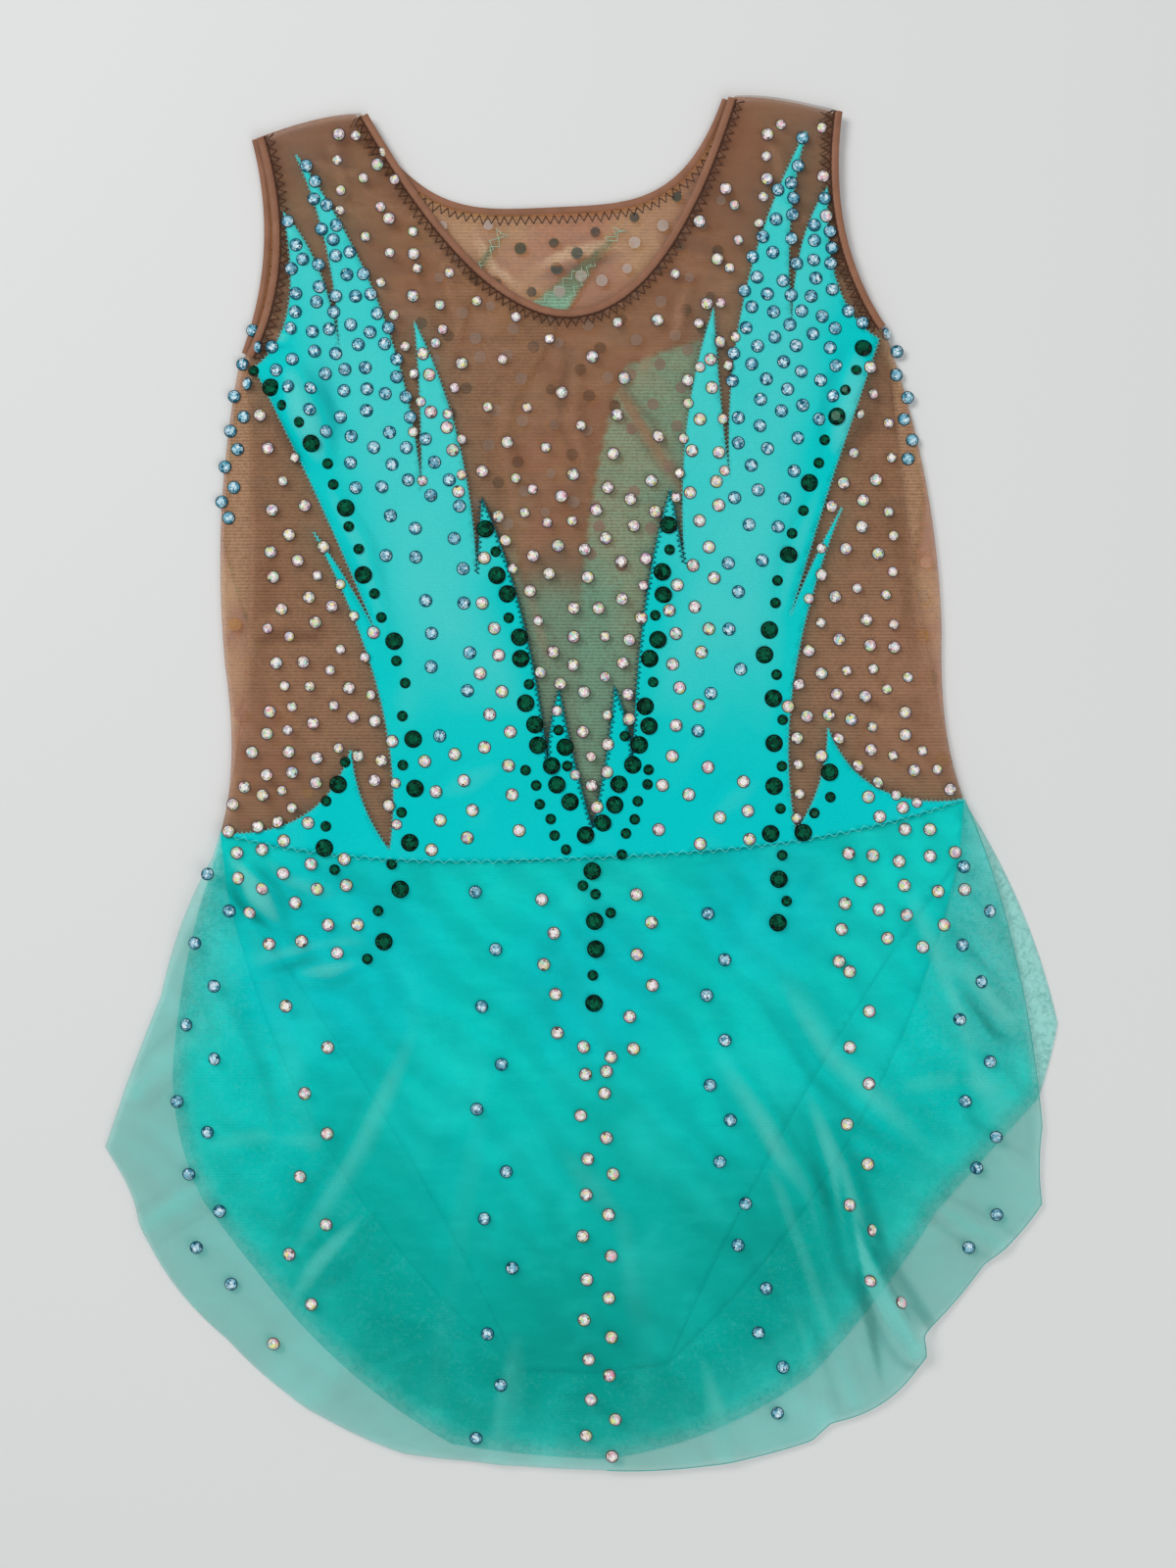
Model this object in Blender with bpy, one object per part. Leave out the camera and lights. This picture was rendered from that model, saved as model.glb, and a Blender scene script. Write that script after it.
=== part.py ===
# A child's sleeveless rhythmic gymnastics leotard, laid flat on a surface with its front up.
# Skin-tone mesh body, turquoise flame pieces sewn on it, a brief under a short two-layer skirt,
# and narrow bindings round the neck and the armholes.
#
# The pattern is drawn in millimetres from the middle of the hip seam: "across" to the side and
# "up" to the shoulders, one half being mirrored to the other. lay() then leans it as it lies.

import math
from collections import namedtuple

import bmesh
import bpy
import numpy as np
from mathutils import Vector
from mathutils.geometry import delaunay_2d_cdt

MM = 0.001

# Cloth
WALL = 1.0  # thickness of each cloth wall
GAP = 0.3  # air between two layers, and along a seam
BINDING_WIDTH = 3.2
BINDING_WALL = 1.6

# Undersides of the four layers, from the surface up
OUTER_BACK = 0.0
BACK = OUTER_BACK + WALL + GAP
FRONT = BACK + WALL + GAP
OUTER_FRONT = FRONT + WALL + GAP

# Spacing of the points
EDGE_STEP = 6.0
BODY_STEP = 10.0
SKIRT_STEP = 8.0
FLAT_STEP = 30.0
FOLD_STEP = 7.0
CLEAR_SHARE = 0.4  # share of a step that a grid point keeps away from edges and folds
NET_MERGE = 1e-4  # corners of a net nearer than this are one

# How the garment lies: its middle leans to the left going up, and its right side lies higher
LEAN = -15.5
LEAN_HEIGHT = 262.0
LEAN_POWER = 1.35
TILT = 0.046
SMOOTH_BELOW = math.radians(40)  # faces that meet at less than this look like one surface
BACK_SLIDE = -2.0  # the back lies this far to the left of the front at the shoulders

# Half widths and heights of the body
NECK_HALF = 65.0
SHOULDER_UP = 271.0
FRONT_NECK_UP = 197.3
FRONT_NECK_POWER = 2.0
FRONT_NECK_SHIFT = 3.0  # the neckline's middle has been pulled to the right
BACK_NECK_UP = 234.7
BACK_NECK_POWER = 3.8
BACK_NECK_SHIFT = 1.0
NECK_RUN_SHARE = 1.3  # length of half a neckline as a share of its half width, for spacing its points
HIP_HALF = 134.0
HIP_UP = 14.8
HIP_POWER = 2.8

# An edge runs from the point before it to (across, up). It bows out by "bow", most at "at" of its length.
Edge = namedtuple("Edge", "name across up bow at")

SHOULDER = [Edge("shoulder", 105.5, 263.7, 2.0, 0.35)]
FRONT_ARMHOLE = [Edge("armhole", 115.1, 186.5, -7.5, 0.55)]
BACK_ARMHOLE = [Edge("armhole", 115.5, 187.5, -6.0, 0.5)]
FRONT_SIDE = [Edge("side", HIP_HALF, HIP_UP, -5.0, 0.7)]
BACK_SIDE = [
    Edge("side above waist", 129.3, 75.0, 4.5, 0.5),
    Edge("side below waist", HIP_HALF, HIP_UP, -3.0, 0.6),
]

# The front flame piece, from the middle of its V to the hip
FLAMES = [
    Edge("v bottom", 0.0, 10.5, 0.0, 0.5),
    Edge("centre tip", 10.0, 61.0, -0.8, 0.5),
    Edge("centre notch", 15.2, 33.0, 1.2, 0.5),
    Edge("v tip", 34.0, 131.0, 3.6, 0.6),
    Edge("v notch", 37.4, 104.0, 0.0, 0.5),
    Edge("inner tip", 53.8, 195.0, 4.8, 0.55),
    Edge("inner notch", 55.5, 134.0, -0.8, 0.5),
    Edge("main tip", 92.0, 257.5, 9.0, 0.5),
    Edge("main notch", 81.5, 187.0, -3.5, 0.45),
    Edge("outer tip", 97.8, 236.5, 3.8, 0.6),
    Edge("side point", 112.5, 181.5, -8.0, 0.7),
    Edge("side notch", 74.5, 84.0, -1.0, 0.5),
    Edge("thin tip", 95.3, 122.0, 0.8, 0.5),
    Edge("finger bottom", 73.1, 6.0, -9.0, 0.6),
    Edge("hip tip", 85.8, 43.0, -3.0, 0.5),
    Edge("hip corner", HIP_HALF, HIP_UP, -11.0, 0.45),
]

# The pieces sewn on the back: the left one has two tongues to the neck, the right one a blunt top
BACK_FLAME_LEFT = [
    Edge("hip middle", -8.0, 1.5, 0.0, 0.5),
    Edge("outer bottom", -76.0, 4.0, 0.0, 0.5),
    Edge("side bottom", -127.0, 118.0, 8.0, 0.5),
    Edge("armhole end", -118.5, 172.0, 1.0, 0.5),
    Edge("shoulder tip", -96.0, 206.0, -2.0, 0.5),
    Edge("outer notch", -78.0, 178.0, -3.0, 0.5),
    Edge("short tip", -17.0, 228.0, -3.0, 0.5),
    Edge("inner notch", -40.0, 178.0, -2.0, 0.5),
    Edge("long tip", 26.0, 227.0, 0.0, 0.5),
    Edge("inner bend", -26.0, 150.0, -2.5, 0.5),
    Edge("end", -8.0, 1.5, 0.0, 0.5),
]
BACK_FLAME_RIGHT = [
    Edge("hip middle", -5.0, 1.5, 0.0, 0.5),
    Edge("blunt corner", 22.0, 177.0, 9.5, 0.65),
    Edge("blunt top", 62.0, 187.0, 1.0, 0.5),
    Edge("shoulder tip", 92.0, 214.0, -4.0, 0.5),
    Edge("armhole end", 118.0, 172.0, -2.0, 0.5),
    Edge("side bottom", 126.0, 124.0, 1.0, 0.5),
    Edge("outer bottom", 76.0, 4.0, 8.0, 0.5),
    Edge("end", -5.0, 1.5, 0.0, 0.5),
]

# The brief, from the side to the crotch
FRONT_LEG = [
    Edge("side", 132.0, -6.0, 0.0, 0.5),
    Edge("leg", 27.0, -184.0, -6.0, 0.5),
    Edge("crotch", 0.0, -186.0, 0.0, 0.5),
]
BACK_LEG = [
    Edge("side", 132.0, -6.0, 0.0, 0.5),
    Edge("leg", 27.0, -184.0, 17.0, 0.5),
    Edge("crotch", 0.0, -186.0, 0.0, 0.5),
]

# The skirt's free edges as they lie, from the right hip round the hem to the left hip
FRONT_HEM = [
    Edge("right edge", 162.0, -97.0, 5.0, 0.45),
    Edge("right corner", 162.0, -125.0, -1.0, 0.5),
    Edge("upper scallop", 141.0, -147.0, 1.5, 0.5),
    Edge("lower scallop", 119.0, -172.0, 1.0, 0.5),
    Edge("pleat end", 120.0, -179.5, 0.0, 0.5),
    Edge("pleat side", 86.0, -204.0, 5.0, 0.5),
    Edge("step", 79.0, -210.5, 0.0, 0.5),
    Edge("bottom", 5.0, -221.0, 3.5, 0.5),
    Edge("bottom left", -68.0, -215.0, 1.2, 0.5),
    Edge("left curve", -132.0, -174.0, 5.0, 0.5),
    Edge("left scallop", -164.0, -131.0, 3.5, 0.5),
    Edge("left notch", -171.5, -112.0, -1.0, 0.5),
    Edge("flare tip", -176.0, -104.5, 0.0, 0.5),
    Edge("left edge", -156.0, -50.0, 0.5, 0.5),
    Edge("left top", -137.0, 0.0, 2.0, 0.5),
]
BACK_HEM = [
    Edge("right flare", 168.0, -60.0, 4.0, 0.5),
    Edge("right corner", 161.0, -87.0, 0.5, 0.5),
    Edge("right hem", 124.0, -128.0, 0.0, 0.5),
    Edge("lower hem", 79.0, -187.0, 2.0, 0.5),
    Edge("bottom", 5.0, -217.5, 5.0, 0.5),
    Edge("bottom left", -51.0, -212.0, 1.0, 0.5),
    Edge("left hem", -108.0, -166.0, 3.0, 0.5),
    Edge("left curve", -141.0, -124.0, 0.5, 0.5),
    Edge("left side", -152.0, -80.0, 2.5, 0.5),
    Edge("left top", -136.5, 0.0, 3.0, 0.5),
]

# The largest folds, each a soft ridge along a route of points as the garment lies
Fold = namedtuple("Fold", "name half_width height route")

BODY_FOLDS = [
    Fold("left chest", 11.0, 4.0, [(-110, 178), (-105, 162), (-97, 140)]),
    Fold("right chest", 11.0, 3.5, [(96, 185), (93, 163), (86, 143)]),
]
SKIRT_FOLDS = [
    Fold("pleat", 9.5, 5.0, [(78, -86), (88, -112), (97, -145), (117, -176)]),
    Fold("left flounce", 8.0, 3.5, [(-128, -3), (-121, -13), (-112, -25)]),
    Fold("left crease", 8.0, 2.0, [(-108, -42), (-83, -37)]),
    Fold("lower left crease", 9.0, 2.5, [(-79, -127), (-111, -161)]),
    Fold("right crease", 8.0, 3.0, [(138, -44), (152, -62)]),
    Fold("right hem wave", 8.0, 3.0, [(143, -78), (149, -104)]),
]
SKIRT_MARGIN = 12.0  # how far past the cloth beneath the skirt keeps its height
SKIRT_FALL = 10.0  # how far out it takes to come down to the next level

TEAL = (0.01, 0.42, 0.44)
SKIRT_TEAL = (0.02, 0.45, 0.42)
NUDE = (0.30, 0.14, 0.08)
BINDING_BROWN = (0.27, 0.12, 0.07)

Finish = namedtuple("Finish", "color roughness alpha")
LYCRA = Finish(TEAL, 0.55, 1.0)
CHIFFON = Finish(SKIRT_TEAL, 0.6, 0.8)
MESH_CLOTH = Finish(NUDE, 0.7, 0.75)
BINDING_CLOTH = Finish(BINDING_BROWN, 0.6, 1.0)


def clear_scene():
    for obj in list(bpy.data.objects):
        bpy.data.objects.remove(obj)


# Outlines


def bowed(start, edge):
    """Points of one edge after its start: a quadratic curve pulled sideways by its bow."""
    end = np.array((edge.across, edge.up))
    start = np.array(start)
    along = end - start
    length = float(np.hypot(*along))
    outward = np.array((-along[1], along[0])) / length
    middle = start + along * edge.at + outward * 2.0 * edge.bow
    count = max(1, round(length / EDGE_STEP))
    t = (np.arange(1, count + 1) / count)[:, None]
    return (1 - t) ** 2 * start + 2 * t * (1 - t) * middle + t**2 * end


def run(start, edges):
    """All the points from start along the edges, start included."""
    points = [np.array([start], float)]
    for edge in edges:
        points.append(bowed(points[-1][-1], edge))
    return np.concatenate(points)


def neck_run(lowest, power, shift):
    """A neckline from the left shoulder to the right one, its middle moved to the side by "shift"."""
    t = np.linspace(-1, 1, 2 * round(NECK_RUN_SHARE * NECK_HALF / EDGE_STEP) + 1)
    across = NECK_HALF * t + shift * (1 - t**2)
    return np.column_stack((across, lowest + (SHOULDER_UP - lowest) * np.abs(t) ** power))


def hip_seam():
    """Half the hip seam, from the side to the middle."""
    t = np.linspace(1, 0, round(HIP_HALF / EDGE_STEP) + 1)
    return np.column_stack((HIP_HALF * t, HIP_UP * t**HIP_POWER))


def inset(points, distance):
    """The run moved in from its left-hand side by a distance."""
    along = np.gradient(points, axis=0)
    along /= np.hypot(along[:, 0], along[:, 1])[:, None]
    return points + np.column_stack((along[:, 1], -along[:, 0])) * distance


def other_side(points):
    return points[::-1] * (-1, 1)


def mirrored(half):
    """The closed loop of a half outline that starts and ends on the middle line."""
    return np.concatenate((half, other_side(half)[1:-1]))


def lay(points, slide=0.0):
    """Moves pattern points to where they lie on the surface."""
    across, up = np.asarray(points, float).T
    height = np.maximum(up, 0.0) / LEAN_HEIGHT
    lean = LEAN * height**LEAN_POWER + slide * height
    return np.column_stack((across + lean, up + TILT * across))


def body_loop(neck, armhole_edges, side_edges, slide=0.0):
    """A body panel's outline as it lies, trimmed at its neck and armholes for the bindings."""
    trim = BINDING_WIDTH + GAP
    shoulder = run(neck[-1], SHOULDER)
    armhole = run(shoulder[-1], armhole_edges)
    side = run(armhole[-1], side_edges)
    right = np.concatenate((shoulder[2:-1], inset(armhole, trim), side[2:-1], hip_seam()))
    return lay(np.concatenate((inset(neck, trim), right, other_side(right)[1:])), slide)


def skirt_loop(hem, seam_drop):
    """A skirt's outline as it lies: along the hip seam, then round its free edge."""
    seam = lay(np.concatenate((other_side(hip_seam()[::-1])[:-1], hip_seam()[::-1])))
    seam = seam - (0.0, seam_drop)
    return np.concatenate((seam, run(seam[-1], hem)[1:]))


# Points and triangles of a panel


def route_distance(points, route):
    """How far each point lies from the route."""
    points = np.asarray(points, float)
    best = np.full(len(points), np.inf)
    for a, b in zip(route[:-1], route[1:]):
        along = b - a
        t = np.clip(((points - a) @ along) / (along @ along), 0, 1)
        best = np.minimum(best, np.hypot(*(points - a - t[:, None] * along).T))
    return best


def loop_distance(points, loop):
    """How far each point lies from the closed loop's edges."""
    return route_distance(points, np.concatenate((loop, loop[:1])))


def inside(points, loop):
    """True for each point inside the closed loop."""
    x, y = np.asarray(points, float).T
    found = np.zeros(len(x), bool)
    for (x0, y0), (x1, y1) in zip(loop, np.roll(loop, -1, axis=0)):
        if y0 == y1:
            continue
        found ^= ((y0 > y) != (y1 > y)) & (x < (x1 - x0) * (y - y0) / (y1 - y0) + x0)
    return found


def outside_distance(points, loop):
    return np.where(inside(points, loop), 0.0, loop_distance(points, loop))


def fold_distance(points, fold):
    """How far each point lies from the fold's crest."""
    return route_distance(points, np.array(fold.route, float))


def rise(points, folds):
    """Height that the folds add at each point."""
    total = np.zeros(len(points))
    for fold in folds:
        share = np.clip(fold_distance(points, fold) / fold.half_width, 0, 1)
        total = np.maximum(total, fold.height * np.cos(share * math.pi / 2) ** 2)
    return total


def fold_rows(fold):
    """Rows of points along a fold: its crest, its flanks and its feet."""
    rows = []
    route = np.array(fold.route, float)
    for a, b in zip(route[:-1], route[1:]):
        along = b - a
        length = float(np.hypot(*along))
        sideways = np.array((-along[1], along[0])) / length * fold.half_width
        for t in np.arange(0, 1, FOLD_STEP / length):
            rows += [a + along * t + sideways * s for s in (-1.0, -0.5, 0.0, 0.5, 1.0)]
    rows.append(route[-1])
    return np.array(rows)


def inner_points(loops, folds, step):
    """A staggered grid inside the first loop, finer along the folds and clear of every edge."""
    low, high = loops[0].min(axis=0), loops[0].max(axis=0)
    rise_step = step * math.sqrt(3) / 2
    grid = [
        (low[0] + (i + 0.5 * (j % 2)) * step, low[1] + j * rise_step)
        for j in range(int((high[1] - low[1]) / rise_step) + 1)
        for i in range(int((high[0] - low[0]) / step) + 1)
    ]
    grid = np.array(grid)
    for fold in folds:
        grid = grid[fold_distance(grid, fold) > fold.half_width + CLEAR_SHARE * FOLD_STEP]
    points = np.concatenate([grid] + [fold_rows(fold) for fold in folds])
    points = points[inside(points, loops[0])]
    for loop in loops:
        points = points[loop_distance(points, loop) > CLEAR_SHARE * EDGE_STEP]
    return points


def cut(loops, folds=(), step=FLAT_STEP):
    """One common net of triangles: its points, and the triangles inside each loop."""
    rings, start = [], 0
    for loop in loops:  # the loops run clockwise, and a face runs the other way
        rings.append(list(range(start, start + len(loop)))[::-1])
        start += len(loop)
    points = np.concatenate(list(loops) + [inner_points(loops, folds, step)])
    found = delaunay_2d_cdt([Vector(p) for p in points], [], rings, 1, NET_MERGE)
    corners, triangles, owners = np.array([tuple(p) for p in found[0]]), found[2], found[5]
    return corners, [
        [tri for tri, owner in zip(triangles, owners) if number in owner]
        for number in range(len(loops))
    ]


# Objects


def finish_material(name, finish):
    material = bpy.data.materials.new(name)
    material.use_nodes = True
    shader = material.node_tree.nodes["Principled BSDF"]
    shader.inputs["Base Color"].default_value = (*finish.color, 1.0)
    shader.inputs["Roughness"].default_value = finish.roughness
    shader.inputs["Metallic"].default_value = 0.0
    shader.inputs["Alpha"].default_value = finish.alpha
    return material


def panel(name, corners, triangles, heights, wall, finish, collection):
    """A cloth wall: the net of triangles at its heights, drawn straight up by its thickness."""
    used = sorted({corner for tri in triangles for corner in tri})
    mesh = bpy.data.meshes.new(name)
    work = bmesh.new()
    made = {}
    for corner in used:
        x, y = corners[corner]
        made[corner] = work.verts.new((x * MM, y * MM, heights[corner] * MM))
    for tri in triangles:
        work.faces.new([made[corner] for corner in tri])
    drawn = bmesh.ops.extrude_face_region(work, geom=work.faces[:])["geom"]
    lifted = [item for item in drawn if isinstance(item, bmesh.types.BMVert)]
    bmesh.ops.translate(work, vec=(0, 0, wall * MM), verts=lifted)
    bmesh.ops.recalc_face_normals(work, faces=work.faces)
    work.to_mesh(mesh)
    work.free()
    mesh.shade_smooth()
    mesh.set_sharp_from_angle(angle=SMOOTH_BELOW)
    obj = bpy.data.objects.new(name, mesh)
    obj.data.materials.append(finish_material(name, finish))
    collection.objects.link(obj)
    return obj


def flat_panel(name, loop, level, wall, finish, collection):
    corners, (triangles,) = cut([loop])
    return panel(name, corners, triangles, np.full(len(corners), level), wall, finish, collection)


def binding(name, edge_run, level, folds, collection):
    """A narrow strip along an edge, as wide as the cloth is trimmed there."""
    loop = np.concatenate((edge_run, inset(edge_run, BINDING_WIDTH)[::-1]))
    corners, (triangles,) = cut([loop])
    heights = level + rise(corners, folds)
    return panel(name, corners, triangles, heights, BINDING_WALL, BINDING_CLOTH, collection)


def build_front(collection):
    """The front mesh panel and the flame piece, on one net so that they lie on each other."""
    neck = neck_run(FRONT_NECK_UP, FRONT_NECK_POWER, FRONT_NECK_SHIFT)
    first = FLAMES[0]
    flame_half = run((first.across, first.up), FLAMES[1:])[:-1]
    flame_loop = lay(mirrored(np.concatenate((flame_half, hip_seam()))))
    loops = [body_loop(neck, FRONT_ARMHOLE, FRONT_SIDE), flame_loop]
    corners, (mesh_net, flame_net) = cut(loops, BODY_FOLDS, BODY_STEP)
    up = rise(corners, BODY_FOLDS)
    panel("front_mesh", corners, mesh_net, FRONT + up, WALL, MESH_CLOTH, collection)
    panel("front_flames", corners, flame_net, OUTER_FRONT + up, WALL, LYCRA, collection)
    build_bindings("front", neck, FRONT_ARMHOLE, FRONT, BODY_FOLDS, 0.0, collection)


def build_bindings(side, neck, armhole_edges, level, folds, slide, collection):
    """The neck strip and the two armhole strips of the front or the back."""
    armhole = run(run(neck[-1], SHOULDER)[-1], armhole_edges)
    strips = {
        "neck_binding": neck,
        "right_armhole_binding": armhole,
        "left_armhole_binding": other_side(armhole),
    }
    for name, edge_run in strips.items():
        binding(f"{side}_{name}", lay(edge_run, slide), level, folds, collection)


def build_back(collection):
    """The back mesh panel with its bindings, and the flame pieces under it."""
    neck = neck_run(BACK_NECK_UP, BACK_NECK_POWER, BACK_NECK_SHIFT)
    loop = body_loop(neck, BACK_ARMHOLE, BACK_SIDE, BACK_SLIDE)
    flat_panel("back_mesh", loop, BACK, WALL, MESH_CLOTH, collection)
    build_bindings("back", neck, BACK_ARMHOLE, BACK + WALL - BINDING_WALL, (), BACK_SLIDE, collection)
    flames = {"back_flame_left": BACK_FLAME_LEFT, "back_flame_right": BACK_FLAME_RIGHT}
    for name, edges in flames.items():
        first = edges[0]
        loop = lay(run((first.across, first.up), edges[1:])[:-1], BACK_SLIDE)
        flat_panel(name, loop, OUTER_BACK, WALL, LYCRA, collection)


def brief_half(leg_edges):
    """Half a brief panel, just below the hip seam."""
    seam = hip_seam()[::-1] - (0.0, GAP)
    return np.concatenate((seam, run(seam[-1], leg_edges)[1:]))


def build_briefs(collection):
    """The brief's two panels. Returns their outlines."""
    loops = [lay(mirrored(brief_half(edges))) for edges in (FRONT_LEG, BACK_LEG)]
    flat_panel("brief_front", loops[0], FRONT, WALL, LYCRA, collection)
    flat_panel("brief_back", loops[1], BACK, WALL, LYCRA, collection)
    return loops


def step_down(distance):
    """1 over the cloth beneath and its margin, falling smoothly to 0 past it."""
    t = np.clip((distance - SKIRT_MARGIN) / SKIRT_FALL, 0, 1)
    return 1 - t * t * (3 - 2 * t)


def build_skirts(brief_loops, collection):
    """The back skirt flat on the surface, and the front skirt over it and over the brief."""
    back_loop = skirt_loop(BACK_HEM, GAP)
    flat_panel("back_skirt", back_loop, OUTER_BACK, WALL, CHIFFON, collection)
    front_loop = skirt_loop(FRONT_HEM, GAP)
    corners, (net,) = cut([front_loop], SKIRT_FOLDS, SKIRT_STEP)
    over_brief = step_down(np.minimum(*(outside_distance(corners, loop) for loop in brief_loops)))
    over_back = step_down(outside_distance(corners, back_loop))
    level = np.maximum(OUTER_FRONT * over_brief, BACK * over_back)
    heights = level + rise(corners, SKIRT_FOLDS)
    panel("front_skirt", corners, net, heights, WALL, CHIFFON, collection)


def centre(collection):
    """Puts the middle of the whole outline over the origin."""
    corners = np.array([v.co for obj in collection.objects for v in obj.data.vertices])
    middle = (corners.min(axis=0) + corners.max(axis=0)) / 2
    for obj in collection.objects:
        obj.location = (-middle[0], -middle[1], 0.0)


def main():
    clear_scene()
    collection = bpy.data.collections.new("gymnastics_leotard")
    bpy.context.scene.collection.children.link(collection)
    build_back(collection)
    build_front(collection)
    build_skirts(build_briefs(collection), collection)
    centre(collection)


main()
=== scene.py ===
import math
from collections import namedtuple

import bpy
import numpy as np
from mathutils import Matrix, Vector
from mathutils.geometry import delaunay_2d_cdt


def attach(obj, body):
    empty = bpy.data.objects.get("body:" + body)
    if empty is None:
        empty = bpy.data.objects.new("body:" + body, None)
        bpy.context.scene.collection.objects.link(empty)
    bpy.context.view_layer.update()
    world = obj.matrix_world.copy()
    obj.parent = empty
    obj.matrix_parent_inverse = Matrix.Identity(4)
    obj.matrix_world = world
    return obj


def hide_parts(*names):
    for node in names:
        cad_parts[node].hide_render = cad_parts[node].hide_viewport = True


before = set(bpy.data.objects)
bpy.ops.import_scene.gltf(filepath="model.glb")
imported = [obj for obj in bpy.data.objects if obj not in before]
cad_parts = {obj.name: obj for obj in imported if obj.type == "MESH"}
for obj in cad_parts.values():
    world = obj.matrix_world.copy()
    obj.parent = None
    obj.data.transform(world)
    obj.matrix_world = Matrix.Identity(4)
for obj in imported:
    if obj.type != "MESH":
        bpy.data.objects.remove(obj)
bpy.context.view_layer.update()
print("frame loaded:", len(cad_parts), "nodes")

mm = 0.001
hipMiddle = np.array((4.0, -26.6))  # where the middle of the hip seam lies in the frame

# How the garment lies and how its layers are stacked, as in the solids
lying = {"lean": -15.5, "height": 262.0, "power": 1.35, "tilt": 0.046, "backSlide": -2.0}
layers = {"back": 1.3, "front": 2.6, "outerFront": 3.9}
cloth = {"wall": 0.35, "meshLift": 0.6, "backLift": 0.25, "clearance": 0.02, "edgeStep": 1.6}
brief = {"level": 0.62, "frontLift": 0.43, "backLeg": 0.95, "frontLeg": 0.85, "legReach": 26.0,
         "hip": (-40.0, -6.0)}
netSteps = {  # the side of a triangle in each piece's net
    "backSkirt": 2.3, "backFlameLeft": 4.0, "backFlameRight": 4.0, "backMesh": 2.3, "briefBack": 4.0,
    "briefFront": 4.0, "frontMesh": 1.9, "frontFlames": 2.3, "frontSkirt": 1.6,
}
cut = {
    "neckHalf": 65.0, "shoulderUp": 271.0, "hipHalf": 134.0, "hipUp": 14.8, "hipPower": 2.8,
    "frontNeck": {"lowest": 197.3, "power": 2.0, "shift": 3.0},
    "backNeck": {"lowest": 234.7, "power": 3.8, "shift": 1.0},
}

Edge = namedtuple("Edge", "name across up bow at")  # a quadratic bow outwards, most at "at" of the length
Fold = namedtuple("Fold", "name halfWidth height route fades", defaults=("both",))

shoulderEdge = [Edge("shoulder", 105.5, 263.7, 2.0, 0.35)]
frontArmhole = [Edge("armhole", 115.1, 186.5, -7.5, 0.55)]
backArmhole = [Edge("armhole", 115.5, 187.5, -6.0, 0.5)]
frontSide = [Edge("side", 134.0, 14.8, -5.0, 0.7)]
backSide = [
    Edge("side above waist", 129.3, 75.0, 4.5, 0.5),
    Edge("side below waist", 134.0, 14.8, -3.0, 0.6),
]
flameEdges = [
    Edge("v bottom", 0.0, 10.5, 0.0, 0.5),
    Edge("centre tip", 10.0, 61.0, -0.8, 0.5),
    Edge("centre notch", 15.2, 33.0, 1.2, 0.5),
    Edge("v tip", 34.0, 131.0, 3.6, 0.6),
    Edge("v notch", 37.4, 104.0, 0.0, 0.5),
    Edge("inner tip", 53.8, 195.0, 4.8, 0.55),
    Edge("inner notch", 55.5, 134.0, -0.8, 0.5),
    Edge("main tip", 92.0, 257.5, 9.0, 0.5),
    Edge("main notch", 81.5, 187.0, -3.5, 0.45),
    Edge("outer tip", 97.8, 236.5, 3.8, 0.6),
    Edge("side point", 112.5, 181.5, -8.0, 0.7),
    Edge("side notch", 74.5, 84.0, -1.0, 0.5),
    Edge("thin tip", 95.3, 122.0, 0.8, 0.5),
    Edge("finger bottom", 73.1, 6.0, -9.0, 0.6),
    Edge("hip tip", 85.8, 43.0, -3.0, 0.5),
    Edge("hip corner", 134.0, 14.8, -11.0, 0.45),
]
backFlameLeft = [
    Edge("hip middle", -8.0, 1.5, 0.0, 0.5),
    Edge("outer bottom", -76.0, 4.0, 0.0, 0.5),
    Edge("side bottom", -127.0, 118.0, 8.0, 0.5),
    Edge("armhole end", -118.5, 172.0, 1.0, 0.5),
    Edge("shoulder tip", -96.0, 206.0, -2.0, 0.5),
    Edge("outer notch", -78.0, 178.0, -3.0, 0.5),
    Edge("short tip", -17.0, 228.0, -3.0, 0.5),
    Edge("inner notch", -40.0, 178.0, -2.0, 0.5),
    Edge("long tip", 26.0, 227.0, 0.0, 0.5),
    Edge("inner bend", -26.0, 150.0, -2.5, 0.5),
    Edge("end", -8.0, 1.5, 0.0, 0.5),
]
backFlameRight = [
    Edge("hip middle", -5.0, 1.5, 0.0, 0.5),
    Edge("blunt corner", 22.0, 177.0, 9.5, 0.65),
    Edge("blunt top", 62.0, 187.0, 1.0, 0.5),
    Edge("shoulder tip", 92.0, 214.0, -4.0, 0.5),
    Edge("armhole end", 118.0, 172.0, -2.0, 0.5),
    Edge("side bottom", 126.0, 124.0, 1.0, 0.5),
    Edge("outer bottom", 76.0, 4.0, 8.0, 0.5),
    Edge("end", -5.0, 1.5, 0.0, 0.5),
]
frontLeg = [
    Edge("side", 132.0, -6.0, 0.0, 0.5),
    Edge("leg", 27.0, -184.0, -6.0, 0.5),
    Edge("crotch", 0.0, -186.0, 0.0, 0.5),
]
backLeg = [
    Edge("side", 132.0, -6.0, 0.0, 0.5),
    Edge("leg", 27.0, -184.0, 17.0, 0.5),
    Edge("crotch", 0.0, -186.0, 0.0, 0.5),
]
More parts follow.
